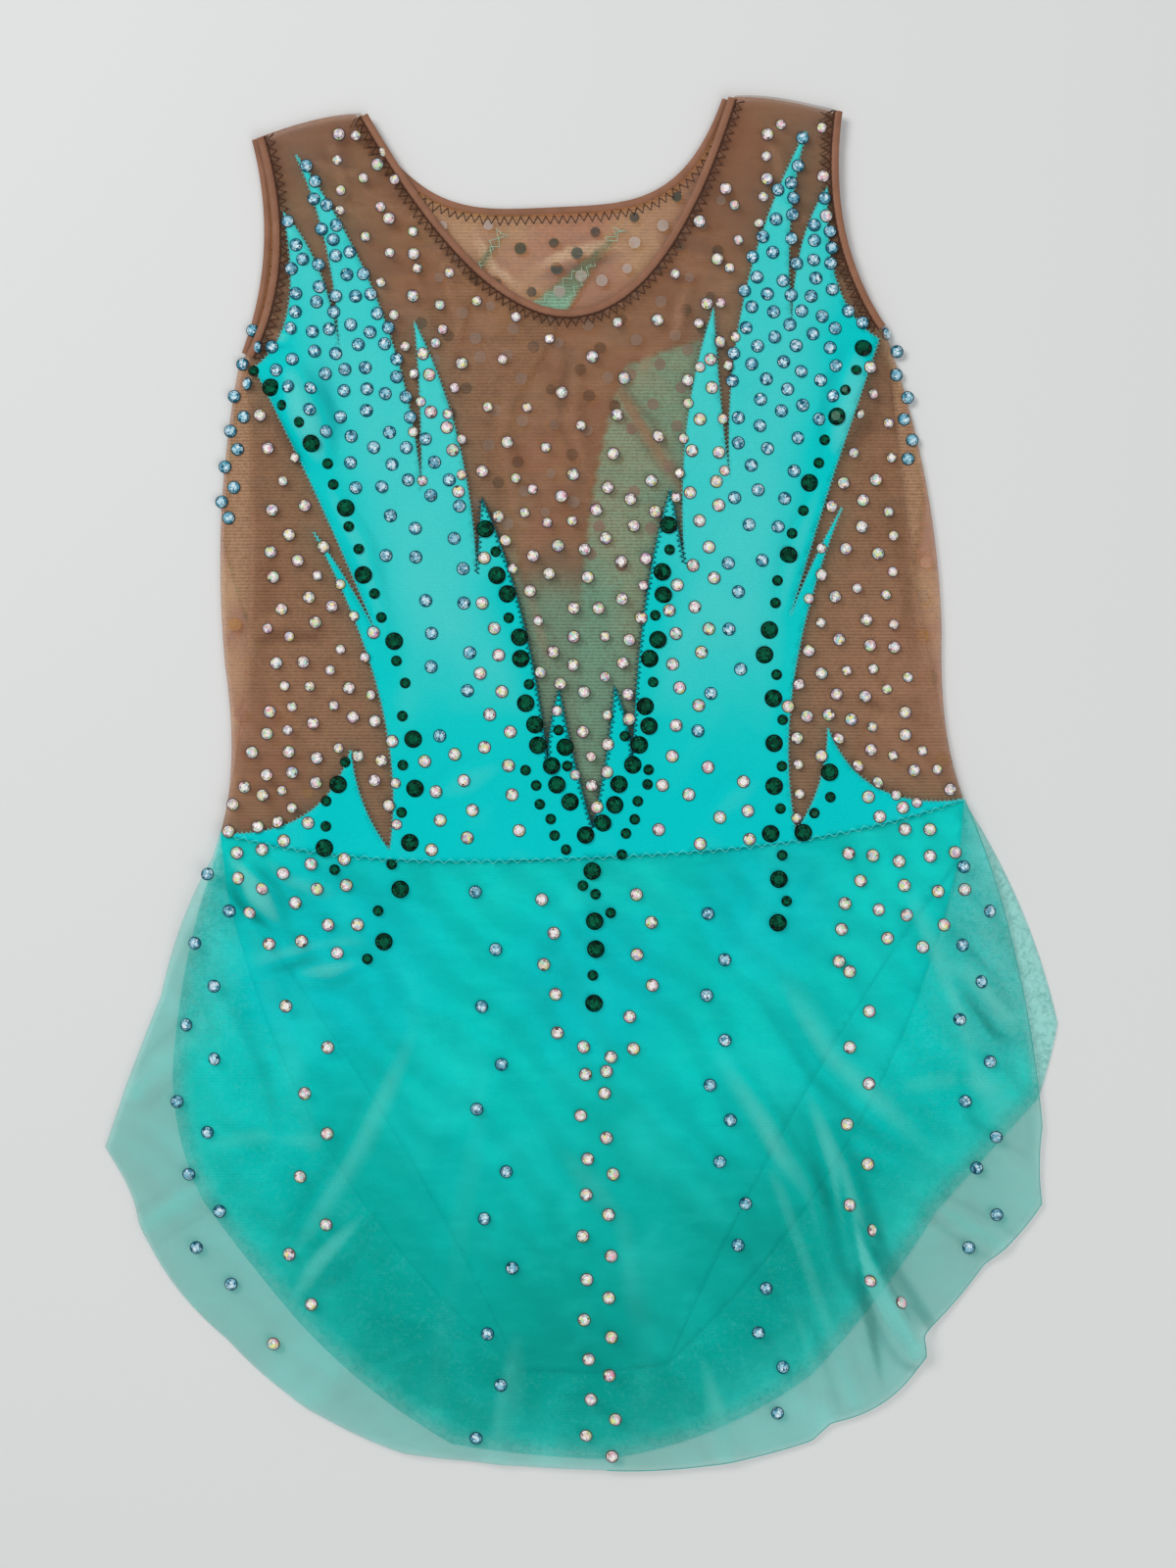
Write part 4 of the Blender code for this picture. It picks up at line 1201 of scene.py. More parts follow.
def buildCloth():
    lift, clearance = cloth["meshLift"], cloth["clearance"]
    shapes = {  # node, slot and height, from the lowest layer up
        "backSkirt": ("back_skirt", "skirt_mesh", lambda p: 0.2 + rise(p, backSkirtFolds)),
        "backFlameLeft": ("back_flame_left", "flame_lycra", flat(0.85)),
        "backFlameRight": ("back_flame_right", "flame_lycra", flat(0.85)),
        "backMesh": (
            "back_mesh", "body_mesh", lambda p: layers["back"] + cloth["backLift"] + rise(p, backFolds)),
        "briefBack": ("brief_back", "brief_lycra", briefHeight),
        "briefFront": (
            "brief_front", "brief_lycra",
            lambda p: briefHeight(p) + brief["frontLift"] + legRise(p, "briefFront", brief["frontLeg"])),
        "frontMesh": ("front_mesh", "body_mesh", lambda p: layers["front"] + lift + frontRise(p)),
        "frontFlames": (
            "front_flames", "flame_lycra", lambda p: layers["outerFront"] + clearance + frontRise(p)),
        "frontSkirt": ("front_skirt", "skirt_mesh", lambda p: skirtHeight(p) + clearance),
    }
    materials = {
        "backSkirt": skirtBackCloth, "backFlameLeft": flameLycra, "backFlameRight": flameLycra,
        "backMesh": meshBack, "briefBack": briefJersey, "briefFront": briefJersey,
        "frontMesh": meshFront, "frontFlames": flameLycra, "frontSkirt": skirtFrontCloth,
    }
    values = {
        "backSkirt": {"drop": dropOf, "bloom": bloomOf, "hem": backHemOf, "frayed": frayedOf},
        "backFlameLeft": {"deep": deepOf}, "backFlameRight": {"deep": deepOf},
        "backMesh": {
            "covers": coversOf, "behind": behindOf, "high": highOf,
            "crest": crestOf(lambda p: rise(p, backFolds), lines=backLines),
        },
        "briefBack": {"drop": dropOf, "bloom": bloomOf}, "briefFront": {"drop": dropOf, "bloom": bloomOf},
        "frontMesh": {
            "overspray": oversprayOf, "band": bandOf, "tone": toneOf,
            "crest": crestOf(frontRise, lines=bodyLines),
        },
        "frontFlames": {"deep": deepOf, "crest": crestOf(frontRise, lines=bodyLines)},
        "frontSkirt": {
            "drop": doubledDropOf, "bloom": bloomOf, "hem": hemOf(loops["frontSkirt"], 24.0),
            "crest": crestOf(skirtRise, 4.0, 1.3, skirtLines),
        },
    }
    pieces = {}
    for name, (node, slot, heightOf) in shapes.items():
        piece = shell(name, loops[name], heightOf, materials[name], values[name])
        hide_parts(node)
        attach(piece, "root")
        pieces[name] = piece
        print("cloth:", name, len(piece.data.polygons), "triangles in its net")
    return pieces


def buildBindings():
    strips = {
        "frontNeckBinding": (frontNeckRun, "front", 0.0, "front_neck_binding"),
        "frontRightArmholeBinding": (frontArmholeRun, "front", 0.0, "front_right_armhole_binding"),
        "frontLeftArmholeBinding": (
            otherSide(frontArmholeRun), "front", 0.0, "front_left_armhole_binding"),
        "backNeckBinding": (backNeckRun, "back", lying["backSlide"], "back_neck_binding"),
        "backRightArmholeBinding": (
            backArmholeRun, "back", lying["backSlide"], "back_right_armhole_binding"),
        "backLeftArmholeBinding": (
            otherSide(backArmholeRun), "back", lying["backSlide"], "back_left_armhole_binding"),
    }
    tree = bindingTree()
    pieces = {}
    for name, (route, level, slide, node) in strips.items():
        middle = inset(lay(route, slide), bindingLook["width"] / 2)
        if level == "front":
            heightOf = lambda p: layers["front"] + bindingLook["frontLift"] + frontRise(p)
        else:
            heightOf = flat(layers["back"] + bindingLook["backLift"])
        mesh = pathMesh(name, [middle], heightOf)
        piece = growFrom(name, mesh, tree, {
            "Width": bindingLook["width"] * mm, "Thickness": bindingLook["thickness"] * mm,
            "Material": bindingSatin,
        })
        piece.data.shade_smooth()
        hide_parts(node)
        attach(piece, "root")
        pieces[name] = piece
    print("bindings:", len(pieces))
    return pieces


threadLook = {
    "overlock": {"halfPitch": 1.5, "reach": 1.45, "thread": 0.32},
    "bindingLine": {"halfPitch": 1.1, "reach": 0.15, "thread": 0.3},
    "flameEdge": {"halfPitch": 0.8, "reach": 0.6, "thread": 0.13},
    "veeEdge": {"halfPitch": 0.95, "reach": 0.95, "thread": 0.34},
    "hipZigzag": {"halfPitch": 2.2, "reach": 0.85, "thread": 0.14},
    "backTongue": {"halfPitch": 2.1, "reach": 1.3, "thread": 0.17},
    "hemRoll": {"halfPitch": 2.0, "reach": 0.0, "thread": 0.17},
}
threadPlace = {
    "frontOverlock": 4.7, "backOverlock": 4.5, "bindingLine": 3.0,  # inwards from the edge of the cloth
    "tongue": 1.6, "tonguesAbove": 190.0, "tonguesHalf": 62.0,
    "onFront": 0.16, "onFlames": 0.05, "onBack": 0.06, "onTongues": 0.08, "onHem": 0.35, "onHip": -0.05,
}


def buildThreads():
    tree = zigzagTree()
    meshTop = layers["front"] + cloth["meshLift"] + cloth["wall"]
    flameTop = layers["outerFront"] + cloth["wall"]
    backTop = layers["back"] + cloth["backLift"] + cloth["wall"]
    onFront = lambda p: meshTop + threadPlace["onFront"] + frontRise(p)
    onFlames = lambda p: flameTop + threadPlace["onFlames"] + frontRise(p)
    onHip = lambda p: flameTop + threadPlace["onHip"] + frontRise(p)
    onHem = lambda p: skirtHeight(p) + threadPlace["onHem"]
    onBack, onTongues = (flat(backTop + threadPlace[name]) for name in ("onBack", "onTongues"))
    slide = lying["backSlide"]
    frontRows = [frontNeckRun, frontArmholeRun, otherSide(frontArmholeRun)]
    backRows = [backNeckRun, backArmholeRun, otherSide(backArmholeRun)]
    veeRun = runAlong((flameEdges[0].across, flameEdges[0].up), flameEdges[1:5])
    tongueRun = runAlong(veeRun[-1], flameEdges[5:])
    tongues = inset(loops["backFlameLeft"], threadPlace["tongue"])
    tongues = np.roll(tongues, -int(np.argmin(tongues[:, 1])), axis=0)
    high = tongues[:, 1] > threadPlace["tonguesAbove"]
    shown = np.flatnonzero(high & ~inside(tongues, loops["frontMesh"]))
    tongueRuns = [tongues[part] for part in np.split(shown, np.flatnonzero(np.diff(shown) > 1) + 1)]
    rows = {
        "frontOverlock": ("overlock", brownThread, onFront, [
            inset(lay(row), threadPlace["frontOverlock"]) for row in frontRows]),
        "backOverlock": ("overlock", brownThread, onBack, [
            inset(lay(row, slide), threadPlace["backOverlock"]) for row in backRows]),
        "bindingStitches": ("bindingLine", brownThread, onFront, [
            inset(lay(row), threadPlace["bindingLine"]) for row in frontRows]),
        "flameStitches": ("flameEdge", paleThread, onFlames, [
            lay(tongueRun), lay(otherSide(tongueRun))]),
        "veeStitches": ("veeEdge", tealThread, onFlames, [lay(veeRun), lay(otherSide(veeRun))]),
        "hemRoll": ("hemRoll", hemThread, onHem, [runAlong(lay(hipSeam())[0], frontHem[:8])]),
        "hipStitches": ("hipZigzag", paleThread, onHip, [hipSeamAcross()]),
        "backTongueStitches": ("backTongue", mintThread, onTongues, [
            run for run in tongueRuns if abs(run[:, 0].mean()) < threadPlace["tonguesHalf"]]),
    }
    pieces = {}
    for name, (kind, material, heightOf, runs) in rows.items():
        look = threadLook[kind]
        piece = growFrom(name, pathMesh(name, runs, heightOf), tree, {
            "Half Pitch": look["halfPitch"] * mm, "Reach": look["reach"] * mm,
            "Thread": look["thread"] * mm, "Material": material,
        })
        piece.data.shade_smooth()
        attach(piece, "root")
        pieces[name] = piece
        print("thread:", name, len(piece.data.polygons), "faces")
    return pieces


# Crystals: rows placed beside edges and down the skirt, then fields filled between them

stoneSizes = {"small": 3.9, "medium": 4.7, "large": 6.4}
stoneShape = {
    "height": 0.54, "sides": 8, "gap": 0.35, "tilt": 0.06, "steepest": 1.1,
    "backHeight": 0.8, "backLevels": (0.84, layers["back"] + 0.24),  # under a back flame, or under the mesh
}

Row = namedtuple("Row", "name kind sizes spacing wobble route")
Field = namedtuple("Field", "name kind size spacing within edges region")

stoneRows = [
    Row("left outer green", "green", "small large small", 8.3, 0.6,
        [(-122, 176), (-108, 159), (-97, 144), (-88, 122), (-82, 101), (-73, 81), (-68, 62)]),
    Row("left hip green", "green", "small large", 9.6, 2.6,
        [(-66, 52), (-67, 16), (-70, -4), (-76, -24), (-79, -38)]),
    Row("right outer green", "green", "large small small", 8.8, 0.6,
        [(98, 184), (85, 154), (74, 122), (66, 97), (64, 82)]),
    Row("right hip green", "green", "large small", 8.4, 1.8,
        [(63, 74), (66, 58), (67, 30), (65, 7), (69, -8), (68, -23)]),
    Row("left vee green", "green", "large small large", 7.9, 1.1,
        [(-38, 118), (-33, 98), (-25, 72), (-22, 47)]),
    Row("right vee green", "green", "large small large", 7.9, 1.1,
        [(28, 119), (25, 98), (21, 68), (19, 47)]),
    Row("left vee bottom", "green", "large", 8.0, 0.8, [(-19, 40), (-11, 24), (-3, 7)]),
    Row("right vee bottom", "green", "large", 8.0, 0.8, [(17, 40), (9, 24), (4, 12)]),
    Row("left side edge", "blue", "medium", 6.2, 2.2, [(-121, 190), (-127, 168), (-130, 144), (-133, 122)]),
    Row("right side edge", "blue", "medium", 8.2, 1.6, [(107, 189), (112, 168), (115, 143)]),
    Row("left vee inner", "green", "small large", 7.4, 0.6, [(-12, 46), (-9, 34), (-5, 20)]),
    Row("right vee inner", "green", "small large", 7.4, 0.6, [(12, 44), (8, 32), (6, 24)]),
    Row("left vee outer", "green", "small", 7.0, 0.8, [(-24, 32), (-17, 16), (-10, 2)]),
    Row("right vee outer", "green", "small", 7.0, 0.8, [(21, 32), (15, 16), (10, 2)]),
    Row("centre tail", "green", "large small large", 9.6, 0.5, [(0, -4), (1, -22), (0, -52)]),
    Row("tail sides", "green", "small", 10.0, 8.0, [(1, -9), (1, -20)]),
    Row("left hip tip", "green", "small large small", 8.0, 1.4, [(-88, 34), (-94, 25), (-97, 12), (-94, -4)]),
    Row("right hip tip", "green", "large small small", 8.0, 1.4, [(86, 31), (84, 18), (75, 10)]),
    Row("left column", "blue", "medium", 20.0, 4.5, [(-38, -14), (-37, -90), (-33, -150), (-38, -208)]),
    Row("right column", "blue", "medium", 14.6, 3.6, [(44, -21), (44, -78), (52, -128), (70, -198)]),
    Row("left edge", "blue", "medium", 14.0, 6.0,
        [(-134, -6), (-141, -50), (-144, -97), (-139, -135), (-136, -155)]),
    Row("right edge", "blue", "medium", 14.4, 5.2,
        [(139, -4), (136, -35), (139, -80), (142, -110), (139, -141)]),
    Row("left clear column", "clear", "medium", 15.2, 6.0,
        [(-104, -52), (-99, -90), (-101, -130), (-111, -176)]),
    Row("right clear column", "clear", "medium", 13.2, 4.2,
        [(97, -40), (95, -60), (94, -105), (96, -135), (108, -162)]),
    Row("centre left", "clear", "medium", 10.5, 2.5, [(-16, -16), (-15, -56), (-5, -70)]),
    Row("centre right", "clear", "medium", 10.8, 3.2, [(18, -12), (18, -50), (8, -78)]),
    Row("centre double", "clear", "medium", 7.4, 5.6, [(0, -64), (2, -110), (2, -165), (3, -216)]),
]

stoneFields = [
    Field("left flame blue", "blue", "medium", (4.95, 15.5), "frontFlames", -1.0,
          [(-118, 250), (-92, 250), (-80, 222), (-68, 191), (-64, 160), (-47, 131), (-41, 83), (-40, 39),
           (-56, 39), (-62, 79), (-82, 125), (-93, 150), (-124, 182)]),
    Field("right flame blue", "blue", "medium", (4.95, 15.5), "frontFlames", -1.0,
          [(62, 272), (84, 262), (92, 237), (104, 185), (88, 168), (75, 143), (65, 111), (58, 76), (46, 37),
           (36, 39), (43, 83), (50, 132), (50, 165), (48, 192)]),
    Field("left tongue clear", "clear", "medium", (7.4, 10.5), "frontFlames", 2.0,
          [(-70, 205), (-56, 200), (-42, 143), (-21, 76), (-15, 9), (-62, 0), (-62, 36), (-40, 39),
           (-41, 83), (-45, 125), (-64, 160)]),
    Field("right tongue clear", "clear", "medium", (7.4, 10.5), "frontFlames", 2.0,
          [(40, 200), (48, 195), (50, 160), (48, 132), (42, 83), (36, 39), (56, 35), (58, 0), (16, 3),
           (19, 62), (30, 111), (34, 160)]),
    Field("vee mesh clear", "clear", "mixed", (8.6, 6.3), "frontMesh", 1.0,
          [(-38, 128), (-18, 134), (10, 134), (32, 130), (17, 62), (6, 26), (0, 12), (-6, 26),
           (-19, 62), (-30, 92)]),
    Field("left side clear", "clear", "mixed", (8.8, 6.8), "frontMesh", 1.0,
          [(-122, 172), (-110, 150), (-92, 111), (-78, 79), (-70, 48), (-70, 10), (-90, 38), (-108, 12),
           (-133, 9), (-118, 60), (-116, 120)]),
    Field("right side clear", "clear", "mixed", (8.8, 6.8), "frontMesh", 1.0,
          [(103, 184), (109, 139), (108, 90), (120, 40), (131, 22), (113, 16), (84, 40), (74, 9), (68, 26),
           (68, 65), (79, 97), (84, 125), (93, 164)]),
    Field("left fan", "clear", "medium", (8.4, 11.0), "frontSkirt", 1.0,
          [(-132, 6), (-108, 8), (-90, 8), (-82, -2), (-84, -40), (-97, -36), (-122, -30)]),
    Field("left hip clear", "clear", "medium", (8.2, 8.2), "frontFlames", 2.0,
          [(-132, 12), (-108, 14), (-96, 22), (-100, 2), (-128, 2)]),
    Field("right fan", "clear", "medium", (8.4, 11.0), "frontSkirt", 1.0,
          [(128, 12), (108, 12), (92, 2), (88, -38), (104, -30), (124, -34), (134, -12)]),
    Field("right hip clear", "clear", "medium", (8.2, 8.2), "frontFlames", 2.0,
          [(130, 22), (112, 20), (98, 26), (100, 8), (128, 10)]),
    Field("flame edge clear", "clear", "small", (10.5, 9.5), "frontMesh", 0.4,
          [(-95, 262), (-78, 262), (-52, 196), (-44, 130), (-66, 134), (-86, 190)]),
    Field("right flame edge clear", "clear", "small", (10.5, 9.5), "frontMesh", 0.4,
          [(60, 262), (74, 266), (56, 190), (52, 134), (30, 130), (36, 196)]),
    Field("chest clear", "clear", "mixed", (14.5, 12.0), "frontMesh", 3.0,
          [(-106, 262), (-80, 262), (-60, 224), (-44, 204), (-14, 190), (22, 202), (40, 232), (56, 266),
           (92, 262), (100, 215), (48, 192), (32, 132), (-38, 132), (-58, 192), (-85, 226)]),
]
backFields = [
    Field("back neck", "clear", "mixed", (9.0, 10.0), "backMesh", 4.0,
          [(-60, 240), (50, 240), (36, 130), (-44, 118)]),
    Field("back upper blue", "blue", "medium", (8.5, 12.0), "flames", 1.5,
          [(-140, 240), (130, 240), (130, 120), (-140, 120)]),
    Field("back lower clear", "clear", "medium", (10.0, 14.0), "flames", 1.5,
          [(-140, 122), (130, 122), (130, -5), (-140, -5)]),
    Field("back sides", "clear", "mixed", (11.0, 13.0), "backMesh", 3.0,
          [(-140, 180), (-60, 180), (-60, 10), (60, 10), (60, 180), (130, 180), (134, 6), (-136, 6)]),
]
stoneSeed = 41
rowSpread = {"side": (0.55, 1.1), "drift": 0.12}
fieldLook = {"throws": 9000, "smallShare": 0.38, "thinning": 1.9, "overFlames": 1.6, "fromBackFlames": 3.0}
stoneSeat = {"flameMargin": 2.0, "backAbove": 16.0}


def along(route, distances):
    route = np.array(route, float)
    steps = np.hypot(*np.diff(route, axis=0).T)
    walked = np.concatenate(([0.0], np.cumsum(steps)))
    return np.column_stack([np.interp(distances, walked, route[:, i]) for i in (0, 1)]), walked[-1]


class StoneTray:
    def __init__(self):
        self.rows = []
        self.places = np.zeros((0, 3))

    def add(self, x, y, kind, size):
        radius = size / 2
        if len(self.places):
            apart = np.hypot(self.places[:, 0] - x, self.places[:, 1] - y)
            if (apart < self.places[:, 2] + radius + stoneShape["gap"]).any():
                return False
        self.places = np.vstack((self.places, (x, y, radius)))
        self.rows.append((x, y, kind, size))
        return True


def fillRow(tray, row, dice):
    length = along(row.route, [0.0])[1]
    sizes = row.sizes.split()
    count = round(length / row.spacing)
    for i in range(count + 1):
        at, _ = along(row.route, [length * i / max(count, 1)])
        ahead, _ = along(row.route, [min(length, length * i / max(count, 1) + 1.0)])
        behind, _ = along(row.route, [max(0.0, length * i / max(count, 1) - 1.0)])
        tangent = (ahead - behind)[0]
        tangent /= np.hypot(*tangent)
        side = (1 if i % 2 else -1) * row.wobble * dice.uniform(*rowSpread["side"])
        drift = dice.uniform(-rowSpread["drift"], rowSpread["drift"]) * row.spacing
        x, y = at[0] + np.array((-tangent[1], tangent[0])) * side + tangent * drift
        tray.add(x, y, row.kind, stoneSizes[sizes[i % len(sizes)]])


def fillField(tray, field, dice):
    region = np.array(field.region, float)
    low, high = region.min(axis=0), region.max(axis=0)
    throws = dice.uniform(low, high, (fieldLook["throws"], 2))
    throws = throws[inside(throws, region)]
    if field.within == "flames":
        homes = [loops["backFlameLeft"], loops["backFlameRight"]]
    else:
        homes = [loops[field.within]]
    held = np.zeros(len(throws), bool)
    for home in homes:
        apart = nearest(throws, home, True)[0]
        if field.edges < 0:
            held |= inside(throws, home) | (apart < -field.edges)
        else:
            held |= inside(throws, home) & (apart > field.edges)
    if field.within == "frontMesh":
        flames = loops["frontFlames"]
        held &= ~(inside(throws, flames) & (nearest(throws, flames, True)[0] > fieldLook["overFlames"]))
    if field.within == "backMesh":
        for home in (loops["backFlameLeft"], loops["backFlameRight"]):
            held &= ~inside(throws, home) & (nearest(throws, home, True)[0] > fieldLook["fromBackFlames"])
    kept = np.zeros((0, 2))
    for x, y in throws[held]:
        share = (high[1] - y) / (high[1] - low[1])
        near, far = field.spacing
        spacing = near + (far - near) * share ** fieldLook["thinning"]
        if len(kept) and (np.hypot(kept[:, 0] - x, kept[:, 1] - y) < spacing).any():
            continue
        size = field.size
        if size == "mixed":
            size = "small" if dice.random() < fieldLook["smallShare"] else "medium"
        if tray.add(x, y, field.kind, stoneSizes[size]):
            kept = np.vstack((kept, (x, y)))
    print("stones:", field.name, len(kept))


def seatedHeight(points):
    flames = loops["frontFlames"]
    onFlames = inside(points, flames) | (nearest(points, flames, True)[0] < stoneSeat["flameMargin"])
    flameLevel = layers["outerFront"] + cloth["clearance"]
    body = np.where(onFlames, flameLevel, layers["front"] + cloth["meshLift"])
    body = body + frontRise(points)
    onBack = points[:, 1] > stoneSeat["backAbove"]
    onBack = onBack & ~inside(points, loops["frontMesh"]) & ~inside(points, flames)
    body = np.where(onBack, layers["back"] + cloth["backLift"], body)
    skirt = skirtHeight(points) + cloth["clearance"]
    seam = points[:, 1] - lay(np.column_stack((points[:, 0], hipUpAt(points[:, 0]))))[:, 1]
    return np.where(seam < 0, skirt, np.maximum(body, 0)) + cloth["wall"]


def hipUpAt(across):
    share = np.clip(np.abs(across) / cut["hipHalf"], 0, 1)
    return cut["hipUp"] * share ** cut["hipPower"]


def stoneMesh():
    sides = stoneShape["sides"]
    double = 2 * sides
    rings = [  # radius, height and points: foot, girdle, crown, table and its middle
        (0.97, 0.0, double), (1.0, 0.12, double), (0.85, 0.24, double),
        (0.54, stoneShape["height"], sides), (0.0, stoneShape["height"], 1),
    ]
    places, starts = [], []
    for radius, height, count in rings:
        starts.append(len(places))
        for i in range(count):
            angle = math.tau * i / count
            places.append((radius * math.cos(angle), radius * math.sin(angle), height))
    girdle, rim, crown, table, middle = starts
    # Facet marks from dark to bright: painted shade on the girdle and rim, painted glints on the crown wedges
    # and the table
    wedgeMarks = [0.30, 0.76, 0.42, 0.90, 0.26, 0.64, 0.36, 0.84]
    tableMarks = [0.99, 0.99, 0.70, 0.93, 0.93, 0.60, 0.96, 0.78]
    faces, marks = [tuple(range(double))[::-1]], [0.7]
    for i in range(double):
        j = (i + 1) % double
        faces += [(girdle + i, girdle + j, rim + j, rim + i), (rim + i, rim + j, crown + j, crown + i)]
        marks += [0.02, 0.06]
    for i in range(sides):
        j = (i + 1) % sides
        first, second, third = crown + 2 * i, crown + 2 * i + 1, crown + (2 * i + 2) % double
        faces += [(first, second, table + i), (second, third, table + j), (second, table + j, table + i)]
        marks += [wedgeMarks[i], wedgeMarks[i], 0.5 * wedgeMarks[i] + 0.12]
        faces.append((table + i, table + j, middle))
        marks.append(tableMarks[i])
    mesh = bpy.data.meshes.new("stone")
    mesh.from_pydata(places, [], faces)
    facetLight = mesh.attributes.new("facetLight", "FLOAT", "FACE")
    facetLight.data.foreach_set("value", marks)
    mesh.update()
    return mesh


glueLook = {
    "pale": (0.70, 0.58, 0.50, 1), "dark": (0.07, 0.085, 0.07, 1), "alpha": 0.42, "darkFrom": (0.70, 0.72),
    "height": 0.1, "sides": 14, "radius": 0.92, "above": 104.0, "middle": -2.0, "half": 62.0,
}


def discMesh():
    count = glueLook["sides"]
    low = [(math.cos(math.tau * i / count), math.sin(math.tau * i / count), 0.0) for i in range(count)]
    high = [(x, y, 1.0) for x, y, _ in low]
    faces = [tuple(range(count))[::-1], tuple(range(count, 2 * count))]
    faces += [(i, (i + 1) % count, count + (i + 1) % count, count + i) for i in range(count)]
    mesh = bpy.data.meshes.new("disc")
    mesh.from_pydata(low + high, [], faces)
    return mesh




def glueMaterial():
    material, tree, shader = newMaterial("glueSpot", 0.5, Alpha=glueLook["alpha"])
    dark = spread(tree, attributeOf(tree, "tint"), *glueLook["darkFrom"])
    base = mixed(tree, dark, glueLook["pale"], glueLook["dark"])
    tree.links.new(base, shader.inputs["Base Color"])
    return material


def pointCloud(name, places, **values):
    mesh = bpy.data.meshes.new(name)
    mesh.from_pydata((np.asarray(places) * mm).tolist(), [], [])
    for label, data in values.items():
        data = np.asarray(data, np.float32)
        kind, field = ("FLOAT_VECTOR", "vector") if data.ndim == 2 else ("FLOAT", "value")
        mesh.attributes.new(label, kind, "POINT").data.foreach_set(field, data.ravel())
    return mesh


def buildCrystals():
    dice = np.random.default_rng(stoneSeed)
    tray = StoneTray()
    for row in stoneRows:
        fillRow(tray, row, dice)
    print("stones in rows:", len(tray.rows))
    for field in stoneFields:
        fillField(tray, field, dice)
    backTray = StoneTray()
    for field in backFields:
        fillField(backTray, field, dice)
    stone = bpy.data.objects.new("stoneShape", stoneMesh())
    bpy.context.scene.collection.objects.link(stone)
    tree = crystalTree()
    pieces = {}
    for kind in ("clear", "blue", "green"):
        front = [r for r in tray.rows if r[2] == kind]
        back = [r for r in backTray.rows if r[2] == kind]
        flatPlaces = np.array([(r[0], r[1]) for r in front + back])
        radius = np.array([r[3] / 2 for r in front + back])
        level = np.zeros(len(flatPlaces))
        facing = np.zeros((len(flatPlaces), 3))
        high = flatPlaces[:len(front)]
        level[:len(front)] = seatedHeight(high)
        slopes = [
            (seatedHeight(high + step) - seatedHeight(high - step)) / 2.0
            for step in (np.array((1.0, 0.0)), np.array((0.0, 1.0)))
        ]
        tilt = dice.normal(0.0, stoneShape["tilt"], (len(front), 2))
        slopes = np.clip(np.column_stack(slopes), -stoneShape["steepest"], stoneShape["steepest"])
        facing[:len(front)] = np.column_stack((tilt - slopes, np.ones(len(front))))
        if back:
            low = flatPlaces[len(front):]
            onFlames = inside(low, loops["backFlameLeft"]) | inside(low, loops["backFlameRight"])
            level[len(front):] = np.where(onFlames, *stoneShape["backLevels"])
            facing[len(front):] = (0.0, 0.0, -1.0)
        tall = np.ones(len(flatPlaces))
        tall[len(front):] = stoneShape["backHeight"] / (radius[len(front):] * stoneShape["height"])
        tall = np.minimum(tall, 1.0)
        mesh = pointCloud(
            kind + "Points", np.column_stack((flatPlaces + hipMiddle, level)),
            size=np.column_stack((radius, radius, radius * tall)) * mm, facing=facing,
            turn=dice.uniform(0, math.tau, len(radius)), tint=dice.uniform(0, 1, len(radius)),
        )
        piece = growFrom(kind + "Crystals", mesh, tree, {
            "Stone": stone, "Material": stoneMaterial(kind),
        })
        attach(piece, "root")
        pieces[kind] = piece
        print("crystals:", kind, len(front), "front", len(back), "back", len(piece.data.polygons), "faces")
    bpy.data.objects.remove(stone)

    # The backs of the back's stones, and their glue, show on the inside of the neck
    shown = [
        row for row in backTray.rows
        if row[1] > glueLook["above"] and abs(row[0] - glueLook["middle"]) < glueLook["half"]
    ]
    spots = np.array([row[:2] for row in shown])
    radius = np.array([row[3] / 2 for row in shown]) * glueLook["radius"]
    height = layers["back"] + cloth["backLift"] + cloth["wall"] + rise(spots, backFolds)
    disc = bpy.data.objects.new("discShape", discMesh())
    bpy.context.scene.collection.objects.link(disc)
    mesh = pointCloud(
        "gluePoints", np.column_stack((spots + hipMiddle, height)),
        size=np.column_stack((radius, radius, np.full(len(radius), glueLook["height"]))) * mm,
        facing=np.tile((0.0, 0.0, 1.0), (len(radius), 1)),
        turn=np.zeros(len(radius)), tint=dice.uniform(0, 1, len(radius)),
    )
    piece = growFrom("glueSpots", mesh, tree, {"Stone": disc, "Material": glueMaterial()})
    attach(piece, "root")
    pieces["glue"] = piece
    bpy.data.objects.remove(disc)
    return pieces


# Floor, light and camera

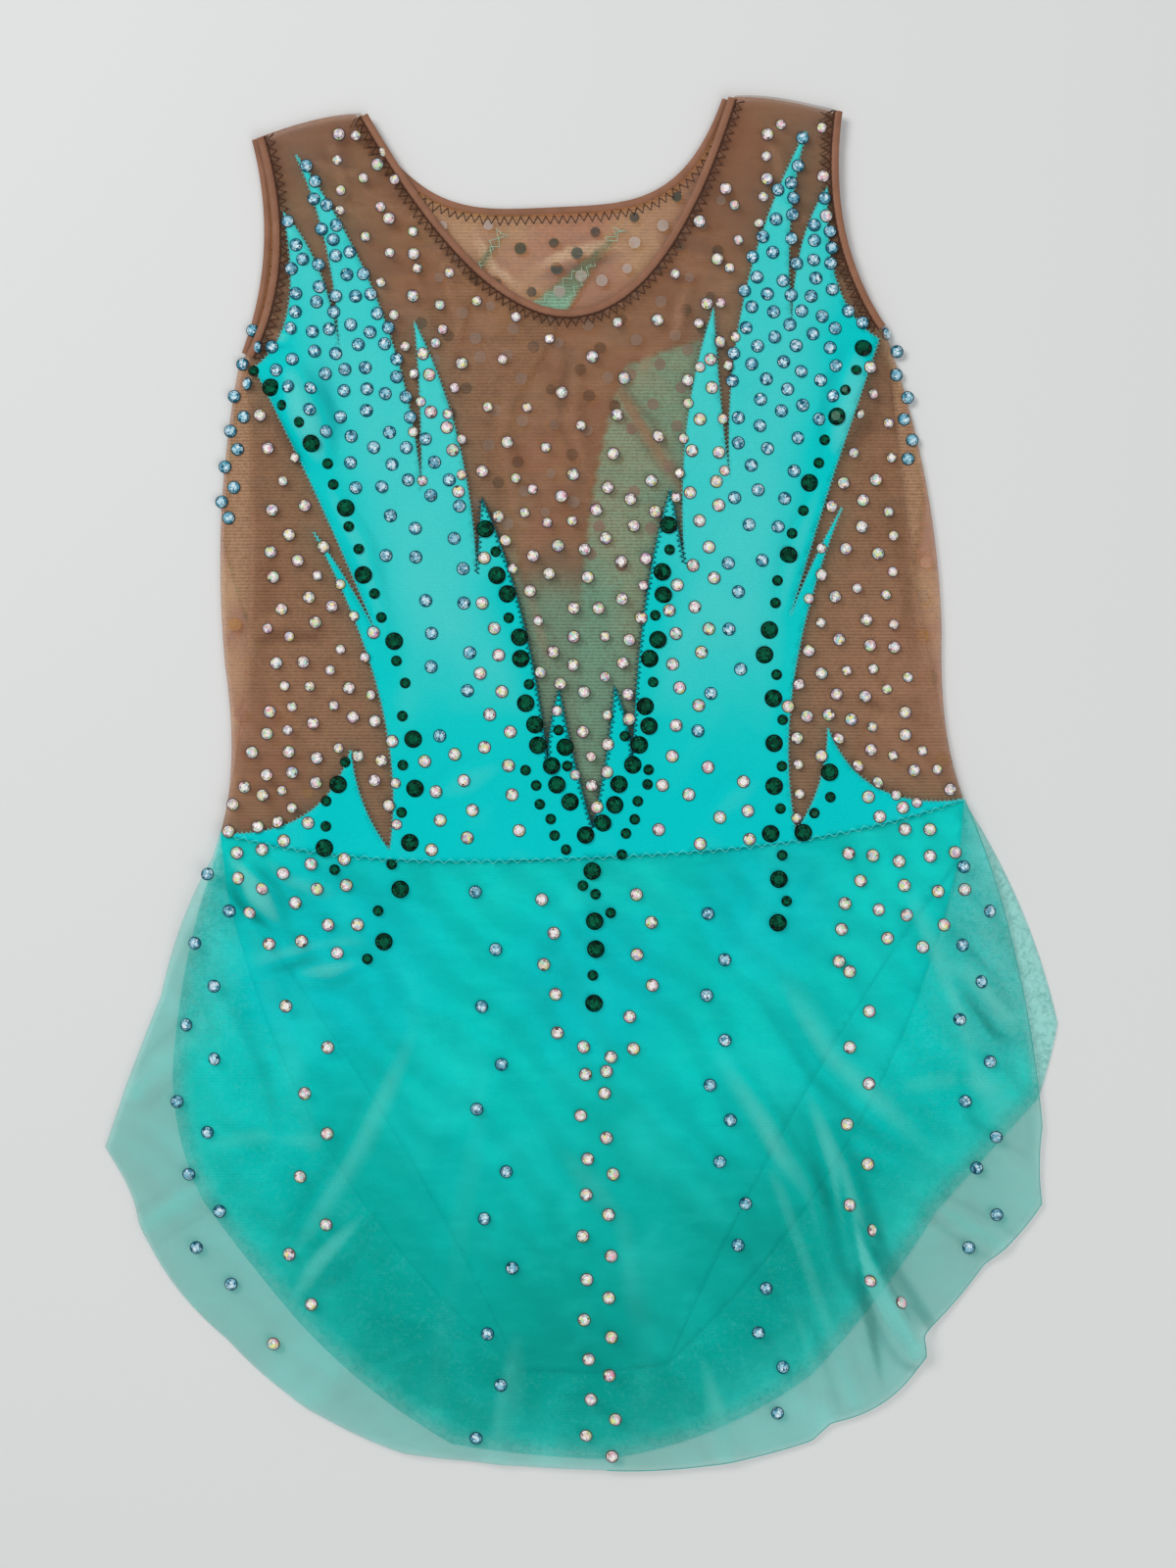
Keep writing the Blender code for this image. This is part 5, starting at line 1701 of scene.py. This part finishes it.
studio = {
    "floor": (0.80, 0.805, 0.80, 1), "floorHalf": 1.6, "ambient": 0.35,
    "key": {"place": (-1.0, 0.95, 1.5), "size": 0.9, "power": 19.7},
    "fill": {"place": (0.8, -0.8, 1.5), "size": 1.4, "power": 9.6},
    "floorDepth": -0.0002, "sky": (0.98, 0.99, 1.0, 1),
    "cameraHeight": 0.945, "lens": 60.0, "target": (0.0022, -0.0001),
}


def areaLight(name, place, size, power):
    light = bpy.data.lights.new(name, "AREA")
    light.shape = "SQUARE"
    light.size = size
    light.energy = power
    lamp = bpy.data.objects.new(name, light)
    lamp.location = place
    lamp.rotation_euler = (-Vector(place)).to_track_quat("-Z", "Y").to_euler()
    bpy.context.scene.collection.objects.link(lamp)


def buildStudio():
    half, depth = studio["floorHalf"], studio["floorDepth"]
    mesh = bpy.data.meshes.new("floor")
    mesh.from_pydata(
        [(-half, -half, depth), (half, -half, depth), (half, half, depth), (-half, half, depth)],
        [], [(0, 1, 2, 3)],
    )
    material, tree, shader = newMaterial("paleSurface", 0.7)
    shader.inputs["Base Color"].default_value = studio["floor"]
    mesh.materials.append(material)
    floor = bpy.data.objects.new("floor", mesh)
    bpy.context.scene.collection.objects.link(floor)
    world = bpy.data.worlds.new("studio")
    world.use_nodes = True
    sky = world.node_tree.nodes["Background"]
    sky.inputs["Color"].default_value = studio["sky"]
    sky.inputs["Strength"].default_value = studio["ambient"]
    bpy.context.scene.world = world
    for name in ("key", "fill"):
        areaLight(name, studio[name]["place"], studio[name]["size"], studio[name]["power"])
    camera = bpy.data.cameras.new("camera")
    camera.sensor_width = 36.0
    camera.lens = studio["lens"]
    camera.clip_start = 0.01
    holder = bpy.data.objects.new("camera", camera)
    holder.location = (*studio["target"], studio["cameraHeight"])
    bpy.context.scene.collection.objects.link(holder)
    bpy.context.scene.camera = holder
    bpy.context.scene.view_settings.view_transform = "Standard"


clothPieces = buildCloth()
bindingPieces = buildBindings()
threadPieces = buildThreads()
crystalPieces = buildCrystals()
buildStudio()
print("scene built")
